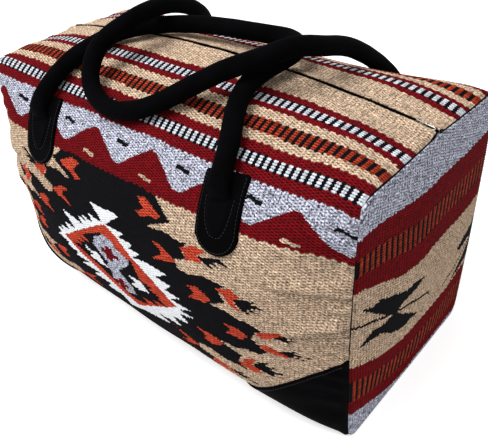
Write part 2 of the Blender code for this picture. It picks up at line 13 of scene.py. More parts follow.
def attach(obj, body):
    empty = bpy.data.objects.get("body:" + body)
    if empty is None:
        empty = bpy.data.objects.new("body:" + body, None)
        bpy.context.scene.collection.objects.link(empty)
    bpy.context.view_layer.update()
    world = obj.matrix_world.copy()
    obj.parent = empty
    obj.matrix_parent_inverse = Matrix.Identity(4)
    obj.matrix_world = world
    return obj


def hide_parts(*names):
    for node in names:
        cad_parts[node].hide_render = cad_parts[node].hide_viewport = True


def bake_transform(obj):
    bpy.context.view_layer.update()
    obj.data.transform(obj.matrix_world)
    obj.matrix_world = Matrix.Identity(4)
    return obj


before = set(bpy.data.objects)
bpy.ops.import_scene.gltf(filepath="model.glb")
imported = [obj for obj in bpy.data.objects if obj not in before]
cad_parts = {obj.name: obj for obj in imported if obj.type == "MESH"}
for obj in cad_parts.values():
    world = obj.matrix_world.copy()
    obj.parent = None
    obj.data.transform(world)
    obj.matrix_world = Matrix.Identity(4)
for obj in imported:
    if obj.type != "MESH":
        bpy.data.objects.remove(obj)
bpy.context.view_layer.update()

# Camera: above the front of the bag's right-hand end, looking down and back along it.
# The turn is a little off level, as in the photograph.
CAMERA_PLACE = (0.4556, -0.4500, 0.5655)
CAMERA_AZIMUTH = math.radians(43.7512)
CAMERA_DIP = math.radians(36.1774)
CAMERA_ROLL = math.radians(-4.494)
FOCAL_PIXELS = 609.7
PHOTO_WIDTH = 488
SENSOR = 36.0


def make_camera():
    """Camera from its place, azimuth, dip and roll, with the lens from the focal length in pixels."""
    forward = Vector((-math.sin(CAMERA_AZIMUTH) * math.cos(CAMERA_DIP),
                      math.cos(CAMERA_AZIMUTH) * math.cos(CAMERA_DIP), -math.sin(CAMERA_DIP)))
    level = Vector((math.cos(CAMERA_AZIMUTH), math.sin(CAMERA_AZIMUTH), 0.0))
    upright = level.cross(forward)
    right = level * math.cos(CAMERA_ROLL) + upright * math.sin(CAMERA_ROLL)
    up = upright * math.cos(CAMERA_ROLL) - level * math.sin(CAMERA_ROLL)
    data = bpy.data.cameras.new("camera")
    data.sensor_width = SENSOR
    data.lens = FOCAL_PIXELS / PHOTO_WIDTH * SENSOR
    made = bpy.data.objects.new("camera", data)
    turn = Matrix((right, up, -forward)).transposed().to_4x4()
    made.matrix_world = Matrix.Translation(CAMERA_PLACE) @ turn
    bpy.context.scene.collection.objects.link(made)
    bpy.context.scene.camera = made


make_camera()
bpy.context.scene.view_settings.view_transform = "Standard"


# Studio: a wide soft light overhead and to the left, a weaker one on the end panel's
# side, even light all round and a pale floor that goes white in the camera's view.
SKY_STRENGTH = 0.50
KEY_POWER = 43.0
KEY_SIZE = 1.1
KEY_PLACE = (-0.50, -0.85, 1.85)
SIDE_POWER = 8.0
SIDE_SIZE = 1.2
SIDE_PLACE = (1.15, -0.30, 1.45)
LIGHT_TARGET = (0.0, 0.0, 0.15)
FLOOR_HALF = 4.0
FLOOR_HEX = "#EDEDED"
FLOOR_GLOW = 0.55


def linear(code):
    """Linear colour of an sRGB hex code: (c + 0.055) / 1.055 to the power 2.4 above 0.04045."""
    parts = [int(code[i:i + 2], 16) / 255 for i in (1, 3, 5)]
    return [c / 12.92 if c <= 0.04045 else ((c + 0.055) / 1.055) ** 2.4 for c in parts]


def add_node(tree, kind, inputs=None, **settings):
    """Add a shader node with its settings and links; its kind is named without ShaderNode.

    Each input is a plain value, another node's socket, or a node, for its first output.
    """
    made = tree.nodes.new("ShaderNode" + kind)
    for key, value in settings.items():
        setattr(made, key, value)
    for key, value in (inputs or {}).items():
        if isinstance(value, bpy.types.Node):
            value = value.outputs[0]
        if isinstance(value, bpy.types.NodeSocket):
            tree.links.new(value, made.inputs[key])
        else:
            made.inputs[key].default_value = value
    return made


def new_material(name):
    """Material with an empty node tree, and that tree."""
    material = bpy.data.materials.new(name)
    material.use_nodes = True
    material.node_tree.nodes.clear()
    return material, material.node_tree


def softbox(name, place, size, power):
    """Square area light that points at the bag."""
    data = bpy.data.lights.new(name, "AREA")
    data.energy = power
    data.size = size
    made = bpy.data.objects.new(name, data)
    made.location = place
    made.rotation_euler = (Vector(LIGHT_TARGET) - Vector(place)).to_track_quat("-Z", "Y").to_euler()
    bpy.context.scene.collection.objects.link(made)


def seen_by_camera(tree):
    """1 for rays that should see the white background: camera, mirror-like and see-through ones."""
    path = add_node(tree, "LightPath")
    seen = add_node(tree, "Math", {0: path.outputs["Is Camera Ray"], 1: path.outputs["Is Glossy Ray"]},
                    operation="MAXIMUM")
    return add_node(tree, "Math", {0: seen, 1: path.outputs["Is Transmission Ray"]}, operation="MAXIMUM")


def make_sky():
    """Even pale light from all round, seen as white."""
    world = bpy.data.worlds.new("studio")
    bpy.context.scene.world = world
    world.use_nodes = True
    tree = world.node_tree
    tree.nodes.clear()
    light = add_node(tree, "Background", {"Color": (1, 1, 1, 1), "Strength": SKY_STRENGTH})
    seen = add_node(tree, "Background", {"Color": (1, 1, 1, 1), "Strength": 1.0})
    mix = add_node(tree, "MixShader", {0: seen_by_camera(tree), 1: light, 2: seen})
    add_node(tree, "OutputWorld", {"Surface": mix})


def make_floor():
    """Wide flat floor: matte, with a glow only for what the camera and reflections see."""
    corners = [(-FLOOR_HALF, -FLOOR_HALF, 0), (FLOOR_HALF, -FLOOR_HALF, 0),
               (FLOOR_HALF, FLOOR_HALF, 0), (-FLOOR_HALF, FLOOR_HALF, 0)]
    mesh = bpy.data.meshes.new("floor")
    mesh.from_pydata(corners, [], [(0, 1, 2, 3)])
    material, tree = new_material("painted_floor")
    matte = add_node(tree, "BsdfDiffuse", {"Color": (*linear(FLOOR_HEX), 1)})
    glow = add_node(tree, "Emission", {"Color": (1, 1, 1, 1), "Strength": FLOOR_GLOW})
    none = add_node(tree, "Emission", {"Strength": 0.0})
    which = add_node(tree, "MixShader", {0: seen_by_camera(tree), 1: none, 2: glow})
    both = add_node(tree, "AddShader", {0: matte, 1: which})
    add_node(tree, "OutputMaterial", {"Surface": both})
    mesh.materials.append(material)
    made = bpy.data.objects.new("floor", mesh)
    bpy.context.scene.collection.objects.link(made)


softbox("key_softbox", KEY_PLACE, KEY_SIZE, KEY_POWER)
softbox("side_softbox", SIDE_PLACE, SIDE_SIZE, SIDE_POWER)
make_sky()
make_floor()


# Woven wrap: two halves of one hand-woven cloth that run from the zip over the shoulders
# and down to the base. It is a weft-faced weave: thick yarn beaten down over hidden warp
# cords, so each crossing shows as a small raised nub and the design is drawn in nubs.

# The bag's form, as in the CAD
BAG_LENGTH = 0.530
END_WIDTH = 0.243
END_HEIGHT = 0.301
CROWN_RISE = 0.0234
SIDE_SWELL = 0.056
END_BOW = 0.006
BASE_SAG = 0.003
CLOTH = 0.003
SEAM_GAP = 0.0004
END_SQUARENESS = 20.0
TOP_ROUNDNESS = 2.2
BASE_ROUNDNESS = 2.6
WIDEST_AT = 0.40
SWELL_POWER = 4.5
SWELL_EASE = 1.5
CROWN_POWER = 4.0
BOW_FADE = 0.8
ZIP_END = 0.020
ZIP_RISE = 0.0015
ZIP_DIMPLE = 0.022
SECTION_STEPS = 601
HALF_LENGTH = BAG_LENGTH / 2
WRAP_END = HALF_LENGTH - CLOTH - SEAM_GAP
TOP_CORNER = END_WIDTH / 2
CORNER_REACH = TOP_CORNER + END_HEIGHT
BASE_TURN_UP = 0.012
BASE_SEAM = CORNER_REACH - BASE_TURN_UP
WRAP_FOOT = BASE_SEAM - SEAM_GAP / 2

# Nubs of the weave, and the rounded edges with which the cloth sinks into its seams
WARP_PITCH = 0.0041
NUB_HEIGHT = 0.0028
NUB_RELIEF = 0.00060
BORDER_RELIEF = -0.20
NUB_SWAY = 0.34
SEAM_HEM = 0.0019
SEAM_ROUND = 0.0014
SEAM_DROP = 0.0026
SEAM_INSET = 0.0022

# Yarns: colours, how much their shade varies from nub to nub, and their share of flecks
YARN = ["#C1A78E", "#6D0810", "#C2452F", "#09080C", "#ABADBC", "#E6E8EB", "#9E351F", "#C2C6CE"]
BEIGE, RED, ORANGE, BLACK, GREY, WHITE, RUST, SILVER = range(8)
YARN_TONE = (0.11, 0.12, 0.12, 0.15, 0.11, 0.03, 0.18, 0.08)
YARN_FLECK = (1.20, 0.60, 0.60, 0.50, 1.80, 0.25, 0.80, 0.80)
# Painted shade in the gaps at a nub's ends and sides, and painted bounce light in white yarn's gaps
END_GAP_SHADE = 0.98
SIDE_GAP_SHADE = 0.45
GAP_FILL_LIGHT = 0.8
FLECKS_PER_METRE = 560.0
FIBRES_PER_METRE = 2400.0


def crown_height(x):
    """Height of the bag's top: it falls with the fourth power of x towards the ends."""
    return END_HEIGHT + CROWN_RISE * (1 - np.minimum(np.abs(x) / HALF_LENGTH, 1) ** CROWN_POWER)


ZIP_HALF = HALF_LENGTH - ZIP_END
ZIP_TOP = float(crown_height(0.0)) + ZIP_RISE
ZIP_DROP = ZIP_TOP - float(crown_height(ZIP_HALF))
ZIP_RADIUS = (ZIP_HALF ** 2 + ZIP_DROP ** 2) / (2 * ZIP_DROP)


def zip_height(x):
    """Height of the zip at x, on its round arc."""
    return ZIP_TOP - ZIP_RADIUS + np.sqrt(ZIP_RADIUS ** 2 - x * x)


def sections(x):
    """Half outlines at each x, zip to base: superellipses, squarer towards the ends.

    out = half width times sin(t) to the power 2/p, height likewise from cos(t) about the
    waist, then a bow at the ends, a flat base and a dimple that follows the zip's arc.
    Returns three arrays of one row for each x: distance out, height and cloth length.
    """
    x = np.asarray(x)[:, None]
    full = (1 - np.minimum(np.abs(x) / HALF_LENGTH, 1) ** SWELL_POWER) ** SWELL_EASE
    half_width = END_WIDTH / 2 + SIDE_SWELL * full
    top = crown_height(x)
    waist = WIDEST_AT * top
    angle = np.linspace(0, math.pi, SECTION_STEPS)[None, :]
    across, up = np.abs(np.sin(angle)), np.cos(angle)
    across[:, -1] = 0.0
    above = up > 0
    roundness = np.where(above, TOP_ROUNDNESS, BASE_ROUNDNESS)
    power = 1 / ((1 - full) / END_SQUARENESS + full / roundness)
    out = half_width * across ** (2 / power)
    reach = np.where(above, top - waist, waist)
    height = waist + reach * np.sign(up) * np.abs(up) ** (2 / power)
    bow = END_BOW * (1 - full) * np.sin(math.pi * np.clip(height / top, 0, 1))
    out = out + bow * np.minimum(1, out / (BOW_FADE * half_width))
    flatten = BASE_SAG * full * (1 - height / waist)
    height = np.where(above, height, np.maximum(height - flatten, 0))
    height = height + np.where(above, (zip_height(x) - top) * np.exp(-(out / ZIP_DIMPLE) ** 2), 0)
    steps = np.hypot(np.diff(out, axis=1), np.diff(height, axis=1))
    return out, height, np.concatenate([np.zeros_like(x), np.cumsum(steps, axis=1)], axis=1)


def on_cloth(x, s, lift=0.0):
    """Points at cloth length s from the zip, moved out by lift along the section's normal.

    All stations are laid end to end with a gap, so that one interpolation serves them all.
    """
    x, s, lift = np.broadcast_arrays(np.asarray(x, float), s, lift)
    stations, which = np.unique(np.round(x, 6), return_inverse=True)
    which = which.reshape(x.shape)
    out, height, length = sections(stations)
    span = 2 * length.max()
    knots = (length + span * np.arange(len(stations))[:, None]).ravel()
    last = length[:, -1][which]

    def read(values, reach):
        """Values of each station's own section at a cloth length."""
        return np.interp(np.clip(reach, 0, last) + span * which, knots, values.ravel())

    reach = np.abs(s)
    run_out = read(out, reach + CLOTH) - read(out, reach - CLOTH)
    run_up = read(height, reach + CLOTH) - read(height, reach - CLOTH)
    size = np.hypot(run_out, run_up)
    side = np.where(s >= 0, -1.0, 1.0)
    y = side * (read(out, reach) - lift * run_up / size)
    return np.stack([x, y, read(height, reach) + lift * run_out / size], axis=-1)


def hump(value, middle, width):
    """Bell curve: 1 at the middle, falling off over the width."""
    return np.exp(-((value - middle) / width) ** 2)


def smooth(share):
    """Smooth step: three t squared less two t cubed, for t held between 0 and 1."""
    share = np.clip(share, 0, 1)
    return share * share * (3 - 2 * share)


# Tucks of the slack front near its ends: cloth length at the seam, slope, start and height.
# A tuck swells slowly down to its fold and falls at once to a hollow, whose shade is painted into the
# yarn colour.
TUCKS = [
    (0.2107, -0.14, 0.188, 0.0042), (0.2280, -0.20, 0.240, 0.0030), (0.2445, -0.45, 0.225, 0.0042),
    (0.2545, -0.30, 0.205, 0.0052), (0.2700, -0.15, 0.205, 0.0036),
]
TUCK_EASE = 0.025
TUCK_ABOVE = 0.011
TUCK_BELOW = 0.0028
HOLLOW_DROP = 0.0030
HOLLOW_WIDTH = 0.0022
HOLLOW_SHADE = 95.0
MOST_SHADE = 0.5


def tucks(x, s):
    """Lift of the tucks, and the painted shade of their hollows as a share of light taken off the yarn
    colour.
    """
    far = np.abs(x)
    lift = shade = np.zeros(np.broadcast(x, s).shape)
    for reach, slope, first, height in TUCKS:
        below = s - reach - slope * (far - HALF_LENGTH)
        fade = np.clip((far - first) / TUCK_EASE, 0, 1) * height
        lift = lift + fade * np.exp(-(below / np.where(below > 0, TUCK_BELOW, TUCK_ABOVE)) ** 2)
        shade = shade + fade * HOLLOW_SHADE * hump(below, HOLLOW_DROP, HOLLOW_WIDTH)
    return lift, shade


# Waves and puckers of the cloth. The zip and the end seams hold it flat: each pair is how
# far from them that goes, and the stretch over which the cloth comes free.
WAVE_HEIGHT = 0.0007
LOW_WAVE_HEIGHT = 0.0005
LOW_WAVE_REACH = 0.30
LOW_WAVE_WIDTH = 0.10
PUCKER_HEIGHT = 0.0016
PUCKER_LENGTH = 0.022
ZIP_HOLD = (0.012, 0.03)
SEAM_HOLD = (0.0015, 0.008)


def folds(x, s):
    """How far the soft cloth stands off its smooth shape at x and s.

    Long shallow waves, which are products and sums of sines, short puckers where it is
    gathered into the end seams, and the tucks at the front.
    """
    far = np.abs(x)
    side = np.where(s >= 0, 1.0, -1.0)
    wave = WAVE_HEIGHT * np.sin(23 * x + 31 * s + 1.7 * side) * np.sin(37 * s - 11 * x)
    low = hump(np.abs(s), LOW_WAVE_REACH, LOW_WAVE_WIDTH)
    wave = wave + LOW_WAVE_HEIGHT * np.sin(61 * x - 19 * s + 0.6) * low
    gather = PUCKER_HEIGHT * np.exp(-(HALF_LENGTH - far) / PUCKER_LENGTH)
    pucker = gather * np.sin(250 * s + 3 * np.sin(40 * s) + 20 * x)
    held = np.clip((np.abs(s) - ZIP_HOLD[0]) / ZIP_HOLD[1], 0, 1)
    held = held * np.clip((HALF_LENGTH - SEAM_HOLD[0] - far) / SEAM_HOLD[1], 0, 1)
    return (wave + pucker + tucks(x, s)[0]) * held


# Folded edge that stands over the zip. The last values are rows under it, as s and lift.
LIP_EDGE = 0.0031
LIP_EASE = 0.006
LIP_LIFT = 0.0026
LIP_WAVE = 0.0003
LIP_RISE = 0.0006
LIP_RISE_LENGTH = 0.22
LIP_FLAT = 0.0045
LIP_FALL = 0.010
LIP_UNDER = [(0.0085, 0.0000), (0.0054, 0.0013), (0.0038, 0.0014), (0.0032, 0.0018)]


def zip_lip(x, s):
    """Lift of the folded edge over the zip: a wavy ridge, then a smooth step down to the cloth."""
    ridge = LIP_LIFT + LIP_WAVE * np.sin(75 * x + 2 * np.sin(31 * x))
    ridge = ridge + LIP_RISE * np.clip(x / LIP_RISE_LENGTH, 0, 1)
    return ridge * (1 - smooth((np.abs(s) - LIP_FLAT) / LIP_FALL))


def inside(x, s, points):
    """Whether each place lies in the polygon: an odd number of its edges pass below it."""
    odd = np.zeros(np.broadcast(x, s).shape, bool)
    for (x0, s0), (x1, s1) in zip(points, points[1:] + points[:1]):
        if x0 != x1:
            crosses = ((x0 > x) != (x1 > x)) & (s < s0 + (x - x0) * (s1 - s0) / (x1 - x0))
            odd ^= crosses
    return odd


# Woven bands: upper and lower edge as cloth lengths, and the yarns of odd and even columns
BANDS = [
    (0.0362, 0.0446, RED, RED), (0.0446, 0.0556, SILVER, BLACK), (0.0556, 0.0631, RED, RED),
    (0.0746, 0.0895, RUST, BLACK), (0.0993, 0.1090, RED, RED),
    (0.1090, 0.1210, SILVER, BLACK), (0.1210, 0.1320, RED, RED), (0.1320, 0.1440, GREY, GREY),
]
PEAK_PITCH = 0.089
FIRST_VALLEY = -0.0115
PEAK_TOP = 0.144
VALLEY_FOOT = 0.169
PEAK_SHOULDER = 0.12
RED_FOOT = 0.1825
RED_FOOT_SLOPE = 0.032
RED_FOOT_BEND = 0.06
# Rows of dashes between the peaks: share of a pitch that they are shifted by, cloth length,
# sway, half thickness and yarn. A dash's half length is a share of the pitch too.
DASHES = [(0.5, 0.1478, 0.0011, 0.0021, BLACK), (0.0, 0.1722, 0.0009, 0.0017, BEIGE)]
DASH_HALF = 0.105

# Lower design. The field, arrows and tails are drawn once, for the upper right quarter, and
# mirrored about a middle line that leans because the sewn cloth is pulled askew.
MIDDLE_S = 0.289
MIDDLE_X = 0.0012
MIDDLE_LEAN = 0.20
LEFT_RISE = 0.03
FIELD = [
    (-0.30, 0.170), (0.055, 0.170), (0.055, 0.184), (0.064, 0.189), (0.074, 0.196), (0.081, 0.2000),
    (0.068, 0.206), (0.0500, 0.2150), (0.0585, 0.2150), (0.075, 0.2115), (0.092, 0.214),
    (0.105, 0.2125), (0.097, 0.2205), (0.102, 0.225), (0.106, 0.2293), (0.0900, 0.2345),
    (0.095, 0.243), (0.109, 0.2442), (0.1265, 0.2388), (0.141, 0.239), (0.153, 0.2385),
    (0.145, 0.2455), (0.150, 0.252), (0.155, 0.2565), (0.135, 0.267), (0.154, 0.266),
    (0.165, 0.270), (0.178, 0.269), (0.190, 0.275), (0.184, 0.281), (0.180, 0.289), (-0.30, 0.289),
]
INNER_ARROWS = [
    [(0.030, 0.1915), (0.042, 0.1895), (0.052, 0.1937), (0.0655, 0.1995), (0.062, 0.2035),
     (0.049, 0.2052), (0.040, 0.2107), (0.030, 0.2072), (0.042, 0.2015), (0.036, 0.1964)],
    [(0.058, 0.2285), (0.0716, 0.228), (0.080, 0.2318), (0.092, 0.237), (0.082, 0.242),
     (0.072, 0.2437), (0.058, 0.2485), (0.073, 0.2375), (0.069, 0.2326)],
    [(0.109, 0.257), (0.120, 0.2538), (0.130, 0.2575), (0.138, 0.2625), (0.130, 0.2683),
     (0.121, 0.2688), (0.109, 0.2705), (0.117, 0.262)],
    [(0.150, 0.283), (0.166, 0.282), (0.177, 0.289), (0.158, 0.289)],
]
OUTER_ARROWS = [
    [(0.095, 0.220), (0.114, 0.2115), (0.122, 0.212), (0.129, 0.213), (0.118, 0.2208),
     (0.127, 0.225), (0.115, 0.2275), (0.106, 0.2295), (0.102, 0.223)],
    [(0.143, 0.245), (0.160, 0.238), (0.171, 0.243), (0.162, 0.249), (0.171, 0.2605),
     (0.157, 0.255), (0.1527, 0.2496)],
    [(0.184, 0.2825), (0.187, 0.2775), (0.205, 0.2725), (0.211, 0.2745), (0.201, 0.280),
     (0.199, 0.2835), (0.191, 0.2845)],
]
TAILS = [
    [(0.118, 0.2208), (0.132, 0.2165), (0.1445, 0.2135), (0.155, 0.2165), (0.143, 0.2175),
     (0.138, 0.2195), (0.146, 0.2225), (0.1345, 0.2222), (0.140, 0.2265), (0.128, 0.2245)],
    [(0.162, 0.249), (0.173, 0.2435), (0.190, 0.2410), (0.180, 0.2455), (0.198, 0.2475),
     (0.180, 0.2500), (0.192, 0.2555), (0.177, 0.2530), (0.183, 0.2595), (0.172, 0.2565)],
    [(0.200, 0.2800), (0.211, 0.2748), (0.222, 0.2740), (0.213, 0.2775), (0.232, 0.2785),
     (0.214, 0.2808), (0.222, 0.2835), (0.209, 0.2825)],
]

# The diamond lies across the middle of the field: a white fringe of long teeth round an
# orange border, a black heart with a grey pillar, white darts and two red crosses.
FRINGE = [
    (-0.016, 0.2392), (0.006, 0.2235), (0.000, 0.2210), (-0.019, 0.2218), (-0.0425, 0.2225),
    (-0.025, 0.2340), (-0.0190, 0.2395), (-0.0454, 0.2376), (-0.0372, 0.2459), (-0.0574, 0.2455),
    (-0.0480, 0.2512), (-0.0665, 0.2490), (-0.0560, 0.2587), (-0.0950, 0.2527), (-0.0741, 0.2711),
    (-0.0955, 0.2691), (-0.0868, 0.2780), (-0.1065, 0.2771), (-0.1000, 0.2835), (-0.1160, 0.2825),
    (-0.1075, 0.2885), (-0.1170, 0.2950), (-0.0950, 0.2985), (-0.1000, 0.3045), (-0.0800, 0.3060),
    (-0.0850, 0.3130), (-0.0600, 0.3130), (-0.0770, 0.3210), (-0.0440, 0.3200), (-0.0580, 0.3290),
    (-0.0270, 0.3280), (-0.0380, 0.3390), (-0.0080, 0.3370), (0.0000, 0.3500), (0.0280, 0.3400),
    (0.0720, 0.3330), (0.0530, 0.3265), (0.0910, 0.3230), (0.0790, 0.3140), (0.1050, 0.3110),
    (0.0930, 0.3030), (0.1130, 0.2980), (0.0942, 0.2955), (0.1105, 0.2890), (0.0815, 0.2880),
    (0.0955, 0.2803), (0.0750, 0.2795), (0.0842, 0.2701), (0.0618, 0.2690), (0.0800, 0.2583),
    (0.0440, 0.2600), (0.0279, 0.2629), (0.0400, 0.2544), (0.0216, 0.2540), (0.0280, 0.2480),
    (0.0047, 0.2467), (0.0140, 0.2402), (-0.001, 0.2394),
]
BORDER = [
    (-0.1003, 0.2900), (-0.0270, 0.2445), (-0.0160, 0.2395), (0.0018, 0.2469), (0.0250, 0.2640),
    (0.0530, 0.2760), (0.0906, 0.2945), (0.0216, 0.3355), (0.0029, 0.3300), (-0.0436, 0.3135),
    (-0.0716, 0.3055),
]
HEART = [
    (-0.0850, 0.2930), (-0.0640, 0.2890), (-0.0780, 0.2850), (-0.0560, 0.2835), (-0.0700, 0.2790),
    (-0.0500, 0.2780), (-0.0623, 0.2721), (-0.0279, 0.2545), (-0.0082, 0.2567), (0.0082, 0.2675),
    (0.0255, 0.2698), (0.0363, 0.2883), (0.0530, 0.2900), (0.0493, 0.2937), (0.0663, 0.2979),
    (0.0600, 0.3010), (0.0740, 0.3052), (0.0500, 0.3080), (0.0600, 0.3130), (0.0350, 0.3150),
    (0.0420, 0.3210), (0.0220, 0.3260), (0.0050, 0.3210), (-0.0400, 0.3060), (-0.0650, 0.2990),
]
PILLAR = [
    (-0.0380, 0.2640), (-0.0216, 0.2545), (-0.0078, 0.2555), (0.0028, 0.2643), (0.0212, 0.2700),
    (0.0190, 0.2780), (0.0080, 0.2860), (0.0010, 0.2920), (0.0110, 0.3000), (0.0200, 0.3070),
    (0.0240, 0.3170), (0.0080, 0.3200), (-0.0080, 0.3150), (-0.0150, 0.3090), (-0.0130, 0.3020),
    (-0.0210, 0.2960), (-0.0170, 0.2900), (-0.0280, 0.2830), (-0.0430, 0.2765),
]
DARTS = [
    [(-0.0600, 0.2860), (-0.0505, 0.2893), (-0.0364, 0.2855), (-0.0300, 0.2921), (-0.0270, 0.2960),
     (-0.0170, 0.2993), (-0.0389, 0.3000), (-0.0552, 0.2985), (-0.0461, 0.2925), (-0.0600, 0.2905)],
    [(0.0170, 0.2905), (0.0360, 0.2900), (0.0475, 0.3005), (0.0327, 0.3040), (0.0183, 0.3020),
     (0.0273, 0.2957)],
]
# Crosses as x, s, half length and half height, and the shares of these that the arms are wide
CROSSES = [(-0.0118, 0.2753, 0.0150, 0.0085), (0.0005, 0.3115, 0.0120, 0.0070)]
CROSS_LEVEL_ARM = 0.3
CROSS_UPRIGHT_ARM = 0.42


def lower_design(x, s):
    """Stepped black field with arrows round a diamond, as yarn numbers on a beige ground."""
    down = np.abs(s - MIDDLE_S)
    middle = MIDDLE_X + MIDDLE_LEAN * (s - MIDDLE_S)
    across = np.abs(x - middle)
    qx = MIDDLE_X - MIDDLE_LEAN * down + across
    qs = MIDDLE_S - down + np.where(x < middle, 2 * LEFT_RISE * across, 0.0)
    qs = np.minimum(qs, 2 * MIDDLE_S - qs)
    yarn = np.where(inside(qx, qs, FIELD), BLACK, BEIGE)
    for points in INNER_ARROWS + OUTER_ARROWS:
        yarn = np.where(inside(qx, qs, points), ORANGE, yarn)
    for points in TAILS:
        yarn = np.where(inside(qx, qs, points), BLACK, yarn)
    diamond = [(FRINGE, WHITE), (BORDER, ORANGE), (HEART, BLACK), (PILLAR, GREY)]
    for points, colour in diamond + [(dart, WHITE) for dart in DARTS]:
        yarn = np.where(inside(x, s, points), colour, yarn)
    for cross_x, cross_s, half_length, half_height in CROSSES:
        u, v = np.abs(x - cross_x) / half_length, np.abs(s - cross_s) / half_height
        cross = ((u < 1) & (v < CROSS_LEVEL_ARM)) | ((u < CROSS_UPRIGHT_ARM) & (v < 1))
        yarn = np.where(cross, RED, yarn)
    return yarn


def wrap_design(x, s, nub_s, odd):
    """Yarn numbers of the wrap: bands, hatches, grey and red peaks and the lower design.

    Level edges follow whole nubs, whose middles are at nub_s, and so come out scalloped.
    """
    yarn = np.full(np.broadcast(x, s).shape, BEIGE)
    for upper, lower, first, second in BANDS:
        yarn = np.where((nub_s >= upper) & (nub_s < lower), np.where(odd, first, second), yarn)
    phase = np.abs(((x - FIRST_VALLEY) / PEAK_PITCH + 0.5) % 1.0 - 0.5) * 2
    phase = np.clip(phase * (1 + 2 * PEAK_SHOULDER) - PEAK_SHOULDER, 0, 1)
    edge = VALLEY_FOOT + (PEAK_TOP - VALLEY_FOOT) * phase
    yarn = np.where((nub_s >= PEAK_TOP) & (s < edge), GREY, yarn)
    yarn = np.where((nub_s >= PEAK_TOP) & (s >= edge), RED, yarn)
    for shift, reach, sway, half, colour in DASHES:
        along = ((x - FIRST_VALLEY) / PEAK_PITCH + shift) % 1.0 - 0.5
        near = np.abs(s - reach - sway * np.sin(30 * along)) < half
        yarn = np.where(near & (np.abs(along) < DASH_HALF), colour, yarn)
    foot = RED_FOOT - RED_FOOT_SLOPE * np.clip(x - RED_FOOT_BEND, 0, None)
    return np.where(nub_s >= foot, lower_design(x, s), yarn)


def handwoven_cotton():
    """Hand-spun cotton and wool yarn: dull and hairy, with flecks of lighter and darker fibre.

    The yarn's colour and its share of flecks come from the weave's attribute. The nub map
    runs from 0 to 1 across and along each nub, and with it the gaps at its borders get
    painted shade, most of all between one nub and the next in its column. Painted bounce
    light takes some of that shade off in white yarn. Flecks are 1.8 mm, fibres 0.4 mm.
    """
    material, tree = new_material("handwoven_cotton")
    yarn = add_node(tree, "Attribute", attribute_name="yarn")
    place = add_node(tree, "TexCoord").outputs["Object"]
    nub = add_node(tree, "UVMap", uv_map="nub")
    nub = add_node(tree, "VectorMath", {0: nub, 1: (2, 2, 0), 2: (-1, -1, 0)}, operation="MULTIPLY_ADD")
    nub = add_node(tree, "VectorMath", {0: nub}, operation="ABSOLUTE")
    nub = add_node(tree, "SeparateXYZ", {"Vector": nub})
    # Painted shade: the gaps at a nub's borders are darkened in the colour, less in pale yarn
    side = add_node(tree, "MapRange", {"Value": nub.outputs["X"], "From Min": 0.45, "From Max": 1.0,
                    "To Min": 0.0, "To Max": SIDE_GAP_SHADE}, interpolation_type="SMOOTHSTEP")
    reach = add_node(tree, "MapRange", {"Value": nub.outputs["X"], "From Min": 0.35, "From Max": 1.0,
                     "To Min": END_GAP_SHADE, "To Max": END_GAP_SHADE * 0.4})
    gap = add_node(tree, "MapRange", {"Value": nub.outputs["Y"], "From Min": 0.15, "From Max": 0.90,
                   "To Min": 0.0, "To Max": reach}, interpolation_type="SMOOTHSTEP")
    gap_shade = add_node(tree, "Math", {0: side, 1: gap}, operation="MAXIMUM")
    green = add_node(tree, "SeparateXYZ", {"Vector": yarn.outputs["Color"]}).outputs["Y"]
    fill = add_node(tree, "Math", {0: green, 1: 1.5}, operation="POWER")
    fill = add_node(tree, "Math", {0: fill, 1: -GAP_FILL_LIGHT, 2: 1.0}, operation="MULTIPLY_ADD")
    gap_shade = add_node(tree, "Math", {0: gap_shade, 1: fill}, operation="MULTIPLY")
    fleck = add_node(tree, "TexNoise", {"Vector": place, "Scale": FLECKS_PER_METRE, "Detail": 2.0,
                     "Roughness": 0.6})
    level = add_node(tree, "MapRange", {"Value": fleck, "From Min": 0.35, "From Max": 0.65,
                     "To Min": -0.5, "To Max": 0.5})
    level = add_node(tree, "Math", {0: level, 1: yarn.outputs["Alpha"], 2: 1.0}, operation="MULTIPLY_ADD")
    lit = add_node(tree, "Math", {0: 1.0, 1: gap_shade}, operation="SUBTRACT")
    level = add_node(tree, "Math", {0: level, 1: lit}, operation="MULTIPLY")
    colour = add_node(tree, "VectorMath", {0: yarn.outputs["Color"], "Scale": level}, operation="SCALE")
    fibre = add_node(tree, "TexNoise", {"Vector": place, "Scale": FIBRES_PER_METRE, "Detail": 1.0})
    height = add_node(tree, "Math", {0: fibre, 1: 0.4, 2: lit}, operation="MULTIPLY_ADD")
    bump = add_node(tree, "Bump", {"Height": height, "Strength": 0.6, "Distance": 0.0005})
    shader = add_node(tree, "BsdfPrincipled", {"Base Color": colour, "Roughness": 0.95,
                      "Specular IOR Level": 0.08, "Normal": bump})
    add_node(tree, "OutputMaterial", {"Surface": shader})
    return material


def grid_faces(rows, columns, turned=False):
    """Corner numbers of the quads of a grid of points, row by row."""
    first = (np.arange(rows - 1)[:, None] * columns + np.arange(columns - 1)[None, :]).ravel()
    quads = np.stack([first, first + columns, first + columns + 1, first + 1], axis=1)
    return quads[:, ::-1] if turned else quads


def add_piece(name, points, quads, material):
    """Object from an array of points and an array of faces, shaded smooth."""
    mesh = bpy.data.meshes.new(name)
    mesh.from_pydata(np.asarray(points, float).reshape(-1, 3).tolist(), [], np.asarray(quads).tolist())
    mesh.update()
    mesh.shade_smooth()
    mesh.materials.append(material)
    made = bpy.data.objects.new(name, mesh)
    bpy.context.scene.collection.objects.link(made)
    return made


